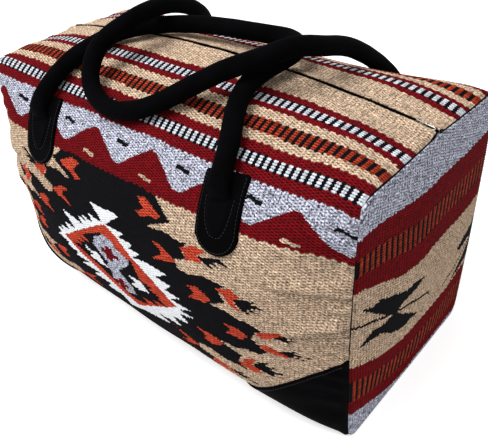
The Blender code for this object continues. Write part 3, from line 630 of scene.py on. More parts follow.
def weave(name, place, design, starts, rows, columns, material, turned, seed, shade=None):
    """Cloth drawn in nubs on a grid of two rows and two columns of faces to each nub.

    A nub's peak is on the middle of its column and on every other row, and neighbouring
    columns are half a nub apart, as weft yarn lies over and under the warp. The border of
    two columns sways from one to the other, for a nub is widest at its peak. Each nub has
    one yarn colour, and its place on the nub goes with it as a map. The hems lie outside
    this grid, which starts at the row and the column given as starts.
    """
    random = np.random.default_rng(seed)
    i, j = np.arange(rows)[:, None], np.arange(2 * columns + 1)[None, :]
    middle = j % 2 == 1
    peak = (i + j // 2) % 2 == 0
    relief = np.where(middle, np.where(peak, 1.0, -1.0), BORDER_RELIEF) * NUB_RELIEF
    sway = np.where(middle | (j == 0) | (j == 2 * columns), 0.0, np.where(peak, -NUB_SWAY, NUB_SWAY))
    points = place(i, j + sway, relief)
    quads = grid_faces(points.shape[0], points.shape[1], turned)
    made = add_piece(name, points, quads, material)
    row, column = np.arange(points.shape[0] - 1)[:, None], np.arange(points.shape[1] - 1)[None, :]
    weave_row = np.clip(row - starts[0], 0, rows - 2)
    weave_column = np.clip((column - starts[1]) // 2, 0, columns - 1)
    nub = weave_row + (weave_row + weave_column) % 2
    yarn = design(column - starts[1], row - starts[0], nub, weave_column % 2 == 1)
    colours = np.array([linear(code) for code in YARN])[yarn]
    tone = random.normal(0, 1, (rows + 1, columns))[nub, weave_column]
    colours = colours * np.exp(tone * np.array(YARN_TONE)[yarn])[..., None]
    # Painted shade: the colours are darkened by the share that the shade function gives
    if shade is not None:
        colours = colours * (1 - shade(column - starts[1], row - starts[0]))[..., None]
    values = np.empty((*yarn.shape, 4, 4))
    values[..., :3] = colours[..., None, :]
    values[..., 3] = np.array(YARN_FLECK)[yarn][..., None]
    corner_row = np.stack([row, row + 1, row + 1, row], axis=-1) - starts[0]
    corner_column = np.stack([column, column, column + 1, column + 1], axis=-1) - starts[1]
    along = np.clip(corner_row - nub[..., None], -1, 1)
    across = np.clip(corner_column - 2 * weave_column[..., None] - 1, -1, 1)
    across, along = np.broadcast_arrays(across, along)
    places = (np.stack([across, along], axis=-1) + 1) / 2
    if turned:
        places = places[:, :, ::-1]
    made.data.uv_layers.new(name="nub").data.foreach_set("uv", places.astype(np.float32).ravel())
    layer = made.data.color_attributes.new("yarn", "FLOAT_COLOR", "CORNER")
    layer.data.foreach_set("color", values.astype(np.float32).ravel())
    return made


WRAP_COLUMNS = round(2 * WRAP_END / WARP_PITCH)
WRAP_ROWS = 1 + round(WRAP_FOOT / (NUB_HEIGHT / 2))
FOOT_HEM = [(0.0, -0.0012), (-0.0004, -0.0030)]
CALM_EDGE = 0.0020
CALM_EASE = 0.004
LINE_WANDER = 0.0007


def wrap_half(name, side, material, seed):
    """One half of the wrap, with its edges folded in at the zip, the base and the end seams."""
    pitch = 2 * WRAP_END / WRAP_COLUMNS
    step = WRAP_FOOT / (WRAP_ROWS - 1)

    def place(i, j, relief):
        """Points of the grid, with hem rows under the lip and at the foot, and hem columns.

        The lift is the lip's and the folds', less a drop that fades with e to the minus
        distance from the end seams. The nubs' relief fades in beyond the zip.
        """
        x = (j - WRAP_COLUMNS) * pitch / 2
        s = i * step + LIP_EDGE * np.exp(-i * step / LIP_EASE)
        under, foot = len(LIP_UNDER), len(FOOT_HEM)
        x = np.pad(x, ((under, foot), (2, 2)), mode="edge")
        x[:, 0], x[:, -1] = -WRAP_END - SEAM_HEM, WRAP_END + SEAM_HEM
        x[:, 1], x[:, -2] = -WRAP_END - SEAM_HEM / 2, WRAP_END + SEAM_HEM / 2
        relief = np.pad(relief, ((under, foot), (2, 2)))
        level = np.zeros_like(x)
        level[under:-foot] = zip_lip(x[under:-foot], s)
        under_s, level[:under] = np.array(LIP_UNDER).T[..., None]
        foot_s, level[-foot:] = np.array(FOOT_HEM).T[..., None]
        s = np.concatenate([under_s, s, s[-1] + foot_s])
        seam = (WRAP_END + SEAM_HEM - np.abs(x)) / SEAM_ROUND
        lift = level - SEAM_DROP * np.exp(-seam) + folds(x, side * s)
        calm = np.clip((s - CALM_EDGE) / CALM_EASE, 0, 1)
        return on_cloth(x, side * s, lift + relief * calm)

    def design(column, row, nub, odd):
        """Yarn of each face, read at its middle. The outermost column, in the seam's groove, is drawn in
        black yarn as painted shade.
        """
        x = (column + 0.5 - WRAP_COLUMNS) * pitch / 2
        wander = LINE_WANDER * np.sin(60 * x)
        yarn = wrap_design(x, (row + 0.5) * step + wander, nub * step + wander, odd)
        # Painted shade: the hem column that sinks into the end seam is drawn black
        return np.where(np.abs(x) > WRAP_END + pitch / 2, BLACK, yarn)

    def shade(column, row):
        """Painted shade: the share of light taken off each face's yarn colour in the hollow of a tuck."""
        x = (column + 0.5 - WRAP_COLUMNS) * pitch / 2
        return np.clip(tucks(x, side * (row + 0.5) * step)[1], 0, MOST_SHADE)

    return weave(name, place, design, (len(LIP_UNDER), 2), WRAP_ROWS, WRAP_COLUMNS, material, side < 0,
                 seed, shade)


cotton = handwoven_cotton()
for face, side, seed in (("front", 1, 11), ("back", -1, 12)):
    wrap = wrap_half(face + "_wrap", side, cotton, seed)
    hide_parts(face + "_panel")
    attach(wrap, "bag")


# End panels: an upright rectangle of the same cloth at each end, with its own bands and
# two pointed figures. Its four edges are sewn to the wrap and the base, wrong side out,
# and the filled bag domes it slightly.
END_DOME = 0.007
# Bands as shares of the panel's height from its top, and the yarns of odd and even columns
END_BANDS = [
    (-0.10, 0.14, GREY, GREY), (0.14, 0.233, RED, RED), (0.233, 0.318, RUST, BLACK),
    (0.318, 0.40, RED, RED), (0.72, 0.79, RED, RED), (0.79, 0.89, RUST, BLACK),
    (0.89, 0.96, RED, RED), (0.96, 1.30, GREY, GREY),
]
END_COLUMNS = round(END_WIDTH / WARP_PITCH)
END_ROWS = 1 + round(END_HEIGHT / (NUB_HEIGHT / 2))
# One figure as y and z, front edge to middle; the other is its mirror image, a little lower
FIGURE = [
    (-0.007, 0.150), (-0.027, 0.1575), (-0.041, 0.157), (-0.071, 0.171), (-0.090, 0.179),
    (-0.099, 0.177), (-0.118, 0.186), (-0.104, 0.173), (-0.080, 0.153), (-0.066, 0.1412),
    (-0.075, 0.1390), (-0.092, 0.1430), (-0.103, 0.1425), (-0.116, 0.1360), (-0.095, 0.1321),
    (-0.083, 0.1300), (-0.059, 0.1110), (-0.031, 0.0993), (-0.026, 0.1030), (-0.004, 0.0965),
    (-0.042, 0.1251), (-0.0575, 0.1385), (-0.045, 0.1435), (-0.019, 0.1439),
]
FIGURE_MIDDLE = (-0.061, 0.142)
FIGURE_STROKE = -0.40
FIGURE_STROKE_REACH = 0.076
FIGURE_STROKE_HALF = 0.0016
FIGURE_MIRROR = 0.033
FIGURE_DROP = 0.019
# The bands rise towards the front edge and their edges wander; the cloth's own waves and hem
BAND_RISE_RATE = 0.42
BAND_RISE = 0.13
BAND_WANDER = 0.0030
END_WAVE = 0.0011
END_WAVE_EASE = 0.03
END_HEM = 0.0044


def end_point(across, down, side):
    """Point of an end panel: its four curved edges blended across and down, then domed.

    The blend is the sum of the two ruled surfaces between facing edges less the one
    through the four corners. The dome is a parabola each way.
    """
    out, height, length = (a[0] for a in sections([HALF_LENGTH]))
    whole = length[-1]

    def edge(s):
        """y and z of the end section at cloth length s."""
        reach = np.abs(s)
        sign = np.where(s >= 0, -1.0, 1.0)
        return np.stack([sign * np.interp(reach, length, out), np.interp(reach, length, height)], -1)

    across, down = np.broadcast_arrays(across, down)
    turn = 1 - 2 * across
    reach = TOP_CORNER + (CORNER_REACH - TOP_CORNER) * down
    a, d = across[..., None], down[..., None]
    top = edge(TOP_CORNER * turn)
    foot = edge(np.copysign(whole - (whole - CORNER_REACH) * np.abs(turn), turn))
    spot = top * (1 - d) + foot * d + edge(reach) * (1 - a) + edge(-reach) * a
    corner = [edge(np.array(value)) for value in (TOP_CORNER, -TOP_CORNER, CORNER_REACH, -CORNER_REACH)]
    spot = spot - (corner[0] * (1 - a) + corner[1] * a) * (1 - d)
    spot = spot - (corner[2] * (1 - a) + corner[3] * a) * d
    dome = END_DOME * (1 - turn ** 2) * (1 - (2 * down - 1) ** 2)
    return np.concatenate([(side * (HALF_LENGTH + dome))[..., None], spot], axis=-1)


def end_design(down, nub_down, y, z, odd):
    """Yarn number of each face of an end panel: bands above and below, figures between."""
    yarn = np.full(down.shape, BEIGE)
    for upper, lower, first, second in END_BANDS:
        yarn = np.where((nub_down >= upper) & (nub_down < lower), np.where(odd, first, second), yarn)
    far = y > FIGURE_MIRROR
    u, v = np.where(far, 2 * FIGURE_MIRROR - y, y), z + np.where(far, FIGURE_DROP, 0.0)
    stroke = v - FIGURE_MIDDLE[1] - FIGURE_STROKE * (u - FIGURE_MIDDLE[0])
    stroke = np.abs(stroke) < FIGURE_STROKE_HALF
    stroke = stroke & (np.abs(u - FIGURE_MIDDLE[0]) < FIGURE_STROKE_REACH)
    return np.where(inside(u, v, FIGURE) | stroke, BLACK, yarn)


def end_panel(name, side, material, seed):
    """One end panel, with a hem all round that turns in to the seam."""
    def inset(share, size):
        """Share of the panel's size, drawn in at both edges by the seam's inset."""
        return share + (1 - 2 * share) * SEAM_INSET / size

    def place(i, j, relief):
        """Points of the grid, lifted by the nubs and waves and sunk at the seams."""
        across = inset(np.pad(j / (2.0 * END_COLUMNS), 1, mode="edge"), END_WIDTH)
        down = inset(np.pad(i / (END_ROWS - 1.0), ((1, 1), (0, 0)), mode="edge"), END_HEIGHT)
        relief = np.pad(relief, 1)
        points = end_point(across, down, side)
        edge = np.minimum(np.minimum(across, 1 - across) * END_WIDTH,
                          np.minimum(down, 1 - down) * END_HEIGHT)
        y, z = points[..., 1], points[..., 2]
        wave = END_WAVE * np.sin(31 * y + 17 * z) * np.sin(43 * z - 8 * y)
        out = relief + wave * np.clip(edge / END_WAVE_EASE, 0, 1) - SEAM_DROP * np.exp(-edge / SEAM_ROUND)
        out[0, :] = out[-1, :] = out[:, 0] = out[:, -1] = -END_HEM
        points[..., 0] += side * out
        return points

    def design(column, row, nub, odd):
        """Yarn of each face. The bands rise towards the front edge by a square law."""
        across = np.clip((column + 0.5) / (2 * END_COLUMNS), 0, 1)
        down = np.clip((row + 0.5) / (END_ROWS - 1), 0, 1)
        spot = end_point(across, down, side)
        y, z = spot[..., 1], spot[..., 2]
        front = across if side > 0 else 1 - across
        rise = np.clip(1 - 2 * front, 0, 1) ** 2
        wander = np.clip(BAND_RISE_RATE * down, 0, BAND_RISE) * rise + BAND_WANDER * np.sin(60 * y)
        return end_design(down + wander, nub / (END_ROWS - 1) + wander, y, z, odd)

    return weave(name, place, design, (1, 1), END_ROWS, END_COLUMNS, material, side < 0, seed)


for hand, side in (("left", -1), ("right", 1)):
    panel = end_panel("end_cloth_" + hand, side, cotton, 20 + side)
    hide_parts("end_panel_" + hand)
    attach(panel, "bag")


# Base: one sheet of black split suede, 1.6 mm thick, that lies flat under the bag and turns
# up a little at the front and the back, where it is seamed to the wrap.
SUEDE_HEX = "#030304"
NAP_PER_METRE = 2500.0
BRUSHED_PER_METRE = 40.0
BASE_COLUMNS = 161
BASE_ROWS = 121


def black_suede():
    """Black split suede: a short nap that scatters light, brushed lighter and darker.

    The nap is 0.4 mm fine and the brushed patches are about 25 mm wide.
    """
    material, tree = new_material("black_suede")
    place = add_node(tree, "TexCoord").outputs["Object"]
    patch = add_node(tree, "TexNoise", {"Vector": place, "Scale": BRUSHED_PER_METRE, "Detail": 3.0})
    level = add_node(tree, "MapRange", {"Value": patch, "From Min": 0.3, "From Max": 0.7,
                     "To Min": 0.6, "To Max": 1.5})
    colour = add_node(tree, "VectorMath", {0: linear(SUEDE_HEX), "Scale": level}, operation="SCALE")
    nap = add_node(tree, "TexNoise", {"Vector": place, "Scale": NAP_PER_METRE, "Detail": 2.0})
    bump = add_node(tree, "Bump", {"Height": nap, "Strength": 0.7, "Distance": 0.0002})
    shader = add_node(tree, "BsdfPrincipled", {"Base Color": colour, "Roughness": 0.9,
                      "Specular IOR Level": 0.02, "Normal": bump})
    add_node(tree, "OutputMaterial", {"Surface": shader})
    return material


def base_sheet():
    """Base from its front seam, under the bag, to its back seam, with hems turned in."""
    x = np.linspace(-WRAP_END, WRAP_END, BASE_COLUMNS)
    x = np.concatenate([[x[0] - SEAM_HEM] * 2, x, [x[-1] + SEAM_HEM] * 2])[None, :]
    share = np.concatenate([[-1.0], np.linspace(-1, 1, BASE_ROWS), [1.0]])[:, None]
    edge = BASE_SEAM + SEAM_GAP / 2
    whole = sections(x[0])[2][:, -1][None, :]
    s = whole - (whole - edge) * np.abs(share)
    seam = np.minimum(s - edge, WRAP_END + SEAM_HEM - np.abs(x))
    lift = -SEAM_DROP * np.exp(-np.maximum(seam, 0) / SEAM_ROUND)
    lift[[0, -1], :] = -CLOTH
    lift[:, [0, -1]] = -CLOTH
    return on_cloth(x, np.where(share <= 0, s, -s), lift)


def suede_sheet(name, node, points, turned=False):
    """Sheet of suede on a grid of points, in the place of one of the bag's nodes."""
    made = add_piece(name, points, grid_faces(*points.shape[:2], turned), suede)
    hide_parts(node)
    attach(made, "bag")


suede = black_suede()
suede_sheet("suede_base", "base_panel", base_sheet())


# Corner patches: a triangle of the same suede over each lower corner of the wrap. Its edge
# is cut, rounded by wear and sewn down with one row of black thread.
PATCH_HEIGHT = 0.115
PATCH_WIDTH = 0.127
PATCH_TIP = 0.004
PATCH_LIFT = 0.0011
SUEDE = 0.0016
PATCH_FOOT = BASE_SEAM - SEAM_GAP
PATCH_START = WRAP_END - PATCH_WIDTH
PATCH_FLARE = 0.007
PATCH_FLARE_LENGTH = 0.006
PATCH_SEAM_ROUND = 0.0016
PATCH_COLUMNS = 70
PATCH_ROWS = 60
# Cut edge as depth into the patch and share of the full height
CUT_EDGE = [(0.0, -0.3), (0.0, 0.5), (0.0003, 0.78), (0.0008, 0.93), (0.0016, 1.0)]
# Stitches: their row's inset and ends, and their form as shares of the length and the radius
THREAD_HEX = "#161412"
PATCH_STITCH_INSET = 0.0040
PATCH_STITCH_ENDS = (0.010, 0.002)
STITCH_LENGTH = 0.0026
STITCH_PITCH = 0.0036
STITCH_RADIUS = 0.00030
STITCH_SIDES = 8
STITCH_FORM = [(-0.5, 0.05), (-0.46, 0.55), (-0.30, 0.9), (0.0, 1.0), (0.30, 0.9), (0.46, 0.55),
               (0.5, 0.05)]
# Steps over which a line's direction and the way out of the cloth are measured
STITCH_TANGENT = 0.0004
PROBE = 0.001


def rounded(share):
    """Height of a quarter circle: 0 at its edge and 1 from a share of 1 inwards."""
    share = np.clip(share, 0, 1)
    return np.sqrt(share * (2 - share))


def patch_top(x):
    """Cloth length of a patch's upper edge: a straight line that flares up at the end seam."""
    flare = PATCH_FLARE * np.exp(-(WRAP_END - x) / PATCH_FLARE_LENGTH)
    return PATCH_FOOT - PATCH_HEIGHT * (x - PATCH_START) / PATCH_WIDTH - flare


def corner_patch(end, side):
    """Grid of one patch: rounded cut edge along the top, hems at the base and the end seam."""
    x = np.linspace(PATCH_START + PATCH_TIP, WRAP_END, PATCH_COLUMNS)
    x = np.concatenate([x, [WRAP_END + SEAM_HEM] * 2])[None, :]
    top = patch_top(np.minimum(x, WRAP_END))
    near = np.array([depth for depth, _ in CUT_EDGE])[:, None]
    start = near[-1, 0]
    share = np.linspace(0, 1, PATCH_ROWS)[1:, None]
    s = np.concatenate([top + near, top + start + (PATCH_FOOT - top - start) * share,
                        PATCH_FOOT + np.zeros_like(x)])
    rise = np.array([height for _, height in CUT_EDGE])
    rise = np.concatenate([rise, np.ones(len(share) + 1)])[:, None] * (PATCH_LIFT + SUEDE)
    seam = np.maximum(np.minimum(PATCH_FOOT - s, WRAP_END + SEAM_HEM - np.abs(x)), 0)
    lift = rise * rounded((x - x[0, 0]) / start)
    lift = lift - (SEAM_DROP + SUEDE) * np.exp(-seam / PATCH_SEAM_ROUND)
    lift[-1, :] = -CLOTH
    lift[:, -1] = -CLOTH
    return on_cloth(end * x, side * s, lift + folds(end * x, side * s))


def run_along(points, power=1):
    """How far along a line each of its points is: the sum of its chords, each to a power."""
    chords = np.linalg.norm(np.diff(points, axis=0), axis=1)
    return np.concatenate([[0], np.cumsum(chords ** power)])


def ring_faces(rings, sides):
    """Corner numbers of the quads between rings of points that follow one another."""
    i, k = np.arange(rings - 1)[:, None] * sides, np.arange(sides)[None, :]
    other = (k + 1) % sides
    return np.stack([i + k, i + other, i + sides + other, i + sides + k], axis=-1).reshape(-1, 4)


def stitches(name, line, outward, material):
    """Row of thread stitches along a line of points, each a short bulging rod.

    A stitch is centred in every pitch of the line's length, laid along its tangent and
    half sunk in the piece that it holds.
    """
    run = run_along(line)
    count = int(run[-1] / STITCH_PITCH)
    centre = (np.arange(count) + 0.5) * run[-1] / count

    def read(values, at):
        """Values along the line at lengths of run."""
        return np.stack([np.interp(at, run, values[:, k]) for k in range(3)], axis=-1)

    tangent = read(line, centre + STITCH_TANGENT) - read(line, centre - STITCH_TANGENT)
    tangent = tangent / np.linalg.norm(tangent, axis=1, keepdims=True)
    up = read(outward, centre)
    up = up - (up * tangent).sum(1, keepdims=True) * tangent
    up = up / np.linalg.norm(up, axis=1, keepdims=True)
    aside = np.cross(tangent, up)
    along, radius = np.array(STITCH_FORM).T * [[STITCH_LENGTH], [STITCH_RADIUS]]
    turn = np.arange(STITCH_SIDES) * 2 * math.pi / STITCH_SIDES
    aside, up, tangent, centre = (a[:, None, None] for a in (aside, up, tangent, read(line, centre)))
    ring = np.cos(turn)[:, None] * aside + np.sin(turn)[:, None] * up
    points = centre + along[:, None, None] * tangent + radius[:, None, None] * ring
    rod = ring_faces(len(STITCH_FORM), STITCH_SIDES)
    first = len(STITCH_FORM) * STITCH_SIDES * np.arange(count)[:, None, None]
    return add_piece(name, points, (rod + first).reshape(-1, 4), material)


def waxed_thread():
    """Waxed black polyester thread, a little lighter and shinier than the suede."""
    material, tree = new_material("waxed_thread")
    shader = add_node(tree, "BsdfPrincipled", {"Base Color": (*linear(THREAD_HEX), 1),
                      "Roughness": 0.5, "Specular IOR Level": 0.2})
    add_node(tree, "OutputMaterial", {"Surface": shader})
    return material


def sewn_line(x, s, lift):
    """Points of a line on the cloth at a lift, and its outward directions."""
    low, high = on_cloth(x, s, lift), on_cloth(x, s, lift + PROBE)
    return low, (high - low) / PROBE


thread = waxed_thread()
for end, hand in ((-1, "left"), (1, "right")):
    for side, face in ((1, "front"), (-1, "back")):
        corner = "_" + face + "_" + hand
        points = corner_patch(end, side)
        suede_sheet("suede_patch" + corner, "corner_patch" + corner, points, end * side < 0)
        x = np.linspace(PATCH_START + PATCH_STITCH_ENDS[0], WRAP_END - PATCH_STITCH_ENDS[1], 80)
        s = patch_top(x) + PATCH_STITCH_INSET
        line, outward = sewn_line(end * x, side * s, PATCH_LIFT + SUEDE + folds(end * x, side * s))
        row = stitches("patch_stitches" + corner, line, outward, thread)
        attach(row, "bag")


# Handle tabs: at each end of a handle the rolled suede opens out into a flat tab with square
# shoulders and a round foot. It is sewn to the wrap all round near its edge, and again
# inside that, round the raised tongue where the roll runs out.
TUBE_RADIUS = 0.00975
TAB_SPACING = 0.278
FRONT_SHIFT = 0.007
HINGE_REACH = 0.150
HINGE_HEIGHT = 0.0115
TAB_ABOVE = 0.017
TAB_BELOW = 0.061
FRONT_TAB_LEAN = 0.15
TAB_WIDTH = 0.050
TAB_THICKNESS = 0.0026
TAB_ROUND = 0.024
TAB_FOOT_BLUNT = 0.985
TAB_SHOULDER_ROUND = 0.0035
TAB_EDGE_ROUND = 0.0016
TAB_FOOT_SLOPE = 0.8
TAB_COLUMNS = 61
TAB_ROWS = 91
LAID_ON = 0.0006
CREASE_DROP = 0.0065
TONGUE_START = -0.004
TONGUE_END = 0.044
TONGUE_HALF = 0.0150
TONGUE_HEIGHT = 0.0017
TONGUE_SLOPE = 0.0035
TONGUE_POWER = 2.6
TONGUE_FADE = 1.6
TONGUE_SEAM_ASIDE = 0.0012
TONGUE_SEAM_SHORT = 0.0005
TAB_SEAM_INSET = 0.0030
GROOVE_DEPTH = 0.0005
GROOVE_WIDTH = 0.0009
THREAD_LIFT = 0.0001


def tab_middle(end, side):
    """x of a tab's middle at its hinge. The front pair sits a little to the left."""
    return end * TAB_SPACING / 2 - (FRONT_SHIFT if side > 0 else 0.0)


def tab_place(end, side, aside, drop):
    """x and s on the cloth of a place on a tab: aside of its middle, and its drop below the hinge."""
    lean = FRONT_TAB_LEAN if side > 0 else 0.0
    x = tab_middle(end, side) + aside * math.cos(lean) + drop * math.sin(lean)
    return x, side * (HINGE_REACH + drop * math.cos(lean) - aside * math.sin(lean))


def tab_outline(aside):
    """Drop of a tab's top and foot at each place aside of its middle."""
    across = np.minimum(np.abs(aside) / (TAB_WIDTH / 2), 1)
    foot = TAB_BELOW - TAB_ROUND * (1 - np.sqrt(1 - (TAB_FOOT_BLUNT * across) ** 2))
    corner = np.clip((np.abs(aside) - TAB_WIDTH / 2) / TAB_SHOULDER_ROUND + 1, 0, 1)
    top = -TAB_ABOVE + TAB_SHOULDER_ROUND * (1 - np.sqrt(1 - corner ** 2))
    return top, foot


def tongue_half(drop):
    """Half width of the raised tongue: it starts as wide as the flattened roll and ends round."""
    fall = np.clip((drop - TONGUE_START) / (TONGUE_END - TONGUE_START), 0, 1)
    return TONGUE_HALF * np.sqrt(1 - fall ** TONGUE_POWER)


def tab_lift(aside, drop):
    """Lift of a tab's outer face: rounded cut edges, the tongue and the crease across it."""
    top, foot = tab_outline(aside)
    edge = np.minimum(drop - top, (foot - drop) * TAB_FOOT_SLOPE)
    edge = np.minimum(TAB_WIDTH / 2 - np.abs(aside), edge)
    body = LAID_ON + TAB_THICKNESS * rounded(edge / TAB_EDGE_ROUND)
    tongue = smooth((tongue_half(drop) - np.abs(aside)) / TONGUE_SLOPE)
    body = body + TONGUE_HEIGHT * tongue * np.clip(TONGUE_FADE - drop / TONGUE_END, 0, 1)
    return body - GROOVE_DEPTH * hump(TAB_WIDTH / 2 - np.abs(aside), TAB_SEAM_INSET, GROOVE_WIDTH)


def handle_tab(end, side):
    """Grid of a tab, closer where its edges are rounded."""
    aside = TAB_WIDTH / 2 * np.sin(np.linspace(-1, 1, TAB_COLUMNS) * math.pi / 2)[None, :]
    share = 0.5 - 0.5 * np.cos(np.linspace(0, 1, TAB_ROWS) * math.pi)[:, None]
    top, foot = tab_outline(aside)
    drop = top + (foot - top) * share
    lift = tab_lift(aside, drop)
    lift[[0, -1], :] = -LAID_ON
    lift[:, [0, -1]] = -LAID_ON
    x, s = tab_place(end, side, aside, drop)
    return on_cloth(x, s, lift + folds(x, s))


def tab_seams(end, side):
    """Two sewn lines of a tab: near its edge, and round its tongue."""
    turn = np.linspace(-math.pi / 2, math.pi / 2, 40)
    upright = np.linspace(-TAB_ABOVE + TAB_SEAM_INSET, TAB_BELOW - TAB_ROUND, 30)
    half = TAB_WIDTH / 2 - TAB_SEAM_INSET
    aside = np.concatenate([upright * 0 - half, half * np.sin(turn), upright * 0 + half])
    drop = TAB_BELOW - TAB_ROUND + (TAB_ROUND - TAB_SEAM_INSET) * np.cos(turn)
    drop = np.concatenate([upright, drop, upright[::-1]])
    outer = (aside, drop)
    reach = TONGUE_END - TONGUE_SEAM_SHORT - CREASE_DROP
    drop = CREASE_DROP + reach * np.sin(np.linspace(0, math.pi, 60))
    sign = np.where(np.arange(60) < 30, -1.0, 1.0)
    inner = (sign * (tongue_half(drop) + TONGUE_SEAM_ASIDE), drop)
    lines = []
    for aside, drop in (outer, inner):
        x, s = tab_place(end, side, aside, drop)
        lines.append(sewn_line(x, s, tab_lift(aside, drop) + folds(x, s) + THREAD_LIFT))
    return lines


for end, hand in ((-1, "left"), (1, "right")):
    for side, face in ((1, "front"), (-1, "back")):
        corner = "_" + face + "_" + hand
        suede_sheet("suede_tab" + corner, face + "_handle_tab_" + hand, handle_tab(end, side), side < 0)
        for name, (line, outward) in zip(("edge", "tongue"), tab_seams(end, side)):
            row = stitches("tab_stitches_" + name + corner, line, outward, thread)
            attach(row, "bag")


# Handles: strips of the same suede rolled round a cotton cord into tubes 19.5 mm thick.
# Each lies over the bag as it was dropped, and flattens where it opens into its tabs.
TUBE_DIAMETER = 2 * TUBE_RADIUS
TUBE_RINGS = 300
TUBE_SIDES = 24
FLAT_HALF_WIDTH = 0.0132
FLAT_HALF_HEIGHT = 0.0030
FLAT_FROM = 0.024
DENT = 0.012
BEND_LENGTH = 0.026
# Last points of a handle beyond its hinge, as drop and lift
TAIL = [(0.0025, 0.0098), (0.0050, 0.0068), (CREASE_DROP + 0.0010, 0.0036)]
# Knots of each route: x in half tab spacings, s in hinge reaches, lift in tube diameters
FRONT_ROUTE = [
    (-1.043, 0.860, 0.564), (-1.000, 0.613, 0.564), (-0.935, 0.440, 0.590), (-0.835, 0.220, 0.656),
    (-0.633, 0.030, 0.759), (-0.353, -0.093, 0.821), (-0.029, -0.133, 0.974), (0.360, -0.153, 1.103),
    (0.604, -0.160, 1.154), (0.741, -0.087, 1.103), (0.748, 0.053, 0.923), (0.698, 0.200, 0.667),
    (0.691, 0.367, 0.564), (0.773, 0.564, 0.564), (0.883, 0.759, 0.577),
]
BACK_ROUTE = [
    (0.957, -0.767, 0.564), (0.964, -0.533, 0.692), (0.971, -0.300, 1.103), (0.978, -0.053, 1.769),
    (0.928, 0.173, 2.128), (0.791, 0.293, 1.923), (0.561, 0.400, 1.456), (0.281, 0.573, 0.810),
    (0.050, 0.727, 0.554), (-0.216, 0.813, 0.554), (-0.475, 0.773, 0.574), (-0.619, 0.660, 0.872),
    (-0.637, 0.490, 1.538), (-0.561, 0.300, 1.897), (-0.540, 0.080, 1.949), (-0.626, -0.247, 1.436),
    (-0.741, -0.533, 0.846), (-0.955, -0.830, 0.564),
]


def hinge_point(end, side):
    """Point that a handle's end turns about, over the middle of its tab."""
    level = on_cloth(np.array([TAB_SPACING / 2]), side * HINGE_REACH, HINGE_HEIGHT)[0]
    return np.array([tab_middle(end, side), level[1], level[2]])


def spline(points, count):
    """Evenly spaced points on a natural cubic spline, its knots spaced by the root of the chord."""
    points = np.array(points)
    knots = run_along(points, 0.5)
    gaps = np.diff(knots)
    size = len(points)
    matrix = np.eye(size)
    target = np.zeros((size, 3))
    slopes = np.diff(points, axis=0) / gaps[:, None]
    for i in range(1, size - 1):
        matrix[i, i - 1:i + 2] = gaps[i - 1], 2 * (gaps[i - 1] + gaps[i]), gaps[i]
        target[i] = 6 * (slopes[i] - slopes[i - 1])
    bends = np.linalg.solve(matrix, target)
    fine = np.linspace(0, knots[-1], 12 * count)
    span = np.clip(np.searchsorted(knots, fine) - 1, 0, size - 2)
    gap = gaps[span][:, None]
    late = (fine - knots[span])[:, None] / gap
    early = 1 - late
    curve = early * points[span] + late * points[span + 1]
    curve += gap ** 2 / 6 * ((early ** 3 - early) * bends[span] + (late ** 3 - late) * bends[span + 1])
    run = run_along(curve)
    even = np.linspace(0, run[-1], count)
    return np.stack([np.interp(even, run, curve[:, axis]) for axis in range(3)], axis=1)


def handle_tail(end, side):
    """Last points of a handle's line beyond its hinge, sinking to the crease, and the way out."""
    drop, lift = np.array(TAIL).T
    x, s = tab_place(end, side, 0.0, drop)
    outward = sewn_line(np.array([tab_middle(end, side)]), side * HINGE_REACH, 0.0)[1]
    return on_cloth(x, s, lift), outward[0]


def tube(line, first_up, last_up):
    """Rings of a tube along a line, round in the middle and flat at both ends.

    The rings are carried along without twist, and the turn that is then left between the
    last ring and the way out there is shared along the whole length.
    """
    run = run_along(line)
    tangent = np.gradient(line, run, axis=0)
    tangent = tangent / np.linalg.norm(tangent, axis=1, keepdims=True)
    up = np.zeros_like(line)
    now = first_up
    for i, direction in enumerate(tangent):
        now = now - direction * now.dot(direction)
        now = now / np.linalg.norm(now)
        up[i] = now
    aside = np.cross(tangent, up)
    left = math.atan2(last_up.dot(aside[-1]), last_up.dot(up[-1]))
    twist = (left * run / run[-1])[:, None]
    up, aside = up * np.cos(twist) + aside * np.sin(twist), aside * np.cos(twist) - up * np.sin(twist)
    end = np.minimum(run, run[-1] - run)
    flat = smooth(1 - end / FLAT_FROM)[:, None]
    wide = TUBE_RADIUS + (FLAT_HALF_WIDTH - TUBE_RADIUS) * flat
    high = TUBE_RADIUS + (FLAT_HALF_HEIGHT - TUBE_RADIUS) * flat
    angle = np.arange(TUBE_SIDES)[None, :] * 2 * math.pi / TUBE_SIDES
    at = run[:, None]
    dent = 1 + DENT * np.sin(at * 140 + 2 * np.cos(angle)) * np.sin(at * 43 + angle)
    ring = (np.cos(angle) * wide * dent)[..., None] * aside[:, None, :]
    ring = ring + (np.sin(angle) * high * dent)[..., None] * up[:, None, :]
    points = line[:, None, :] + ring
    closed = np.concatenate([np.broadcast_to(line[:1, None], (1, TUBE_SIDES, 3)), points,
                             np.broadcast_to(line[-1:, None], (1, TUBE_SIDES, 3))])
    return closed, ring_faces(len(closed), TUBE_SIDES)


def rolled_handle(face, side, route):
    """One handle on its route from tab to tab, which bends down at its ends into its tabs."""
    first = -1.0 if route[0][0] < 0 else 1.0
    x, s, lift = np.array(route).T
    middle = on_cloth(x * TAB_SPACING / 2, s * HINGE_REACH, lift * TUBE_DIAMETER)
    begin, first_up = handle_tail(first, side)
    finish, last_up = handle_tail(-first, side)
    line = spline(np.concatenate([[hinge_point(first, side)], middle, [hinge_point(-first, side)]]),
                  TUBE_RINGS)
    line = np.concatenate([begin[::-1], line, finish])
    points, quads = tube(line, first_up, last_up)
    made = add_piece("rolled_handle_" + face, points, quads, suede)
    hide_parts(face + "_handle")
    start = begin[-1]
    above = on_cloth(start[:1], side * (HINGE_REACH - BEND_LENGTH), HINGE_HEIGHT)[0]
    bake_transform(made)


rolled_handle("front", 1, FRONT_ROUTE)
rolled_handle("back", -1, BACK_ROUTE)
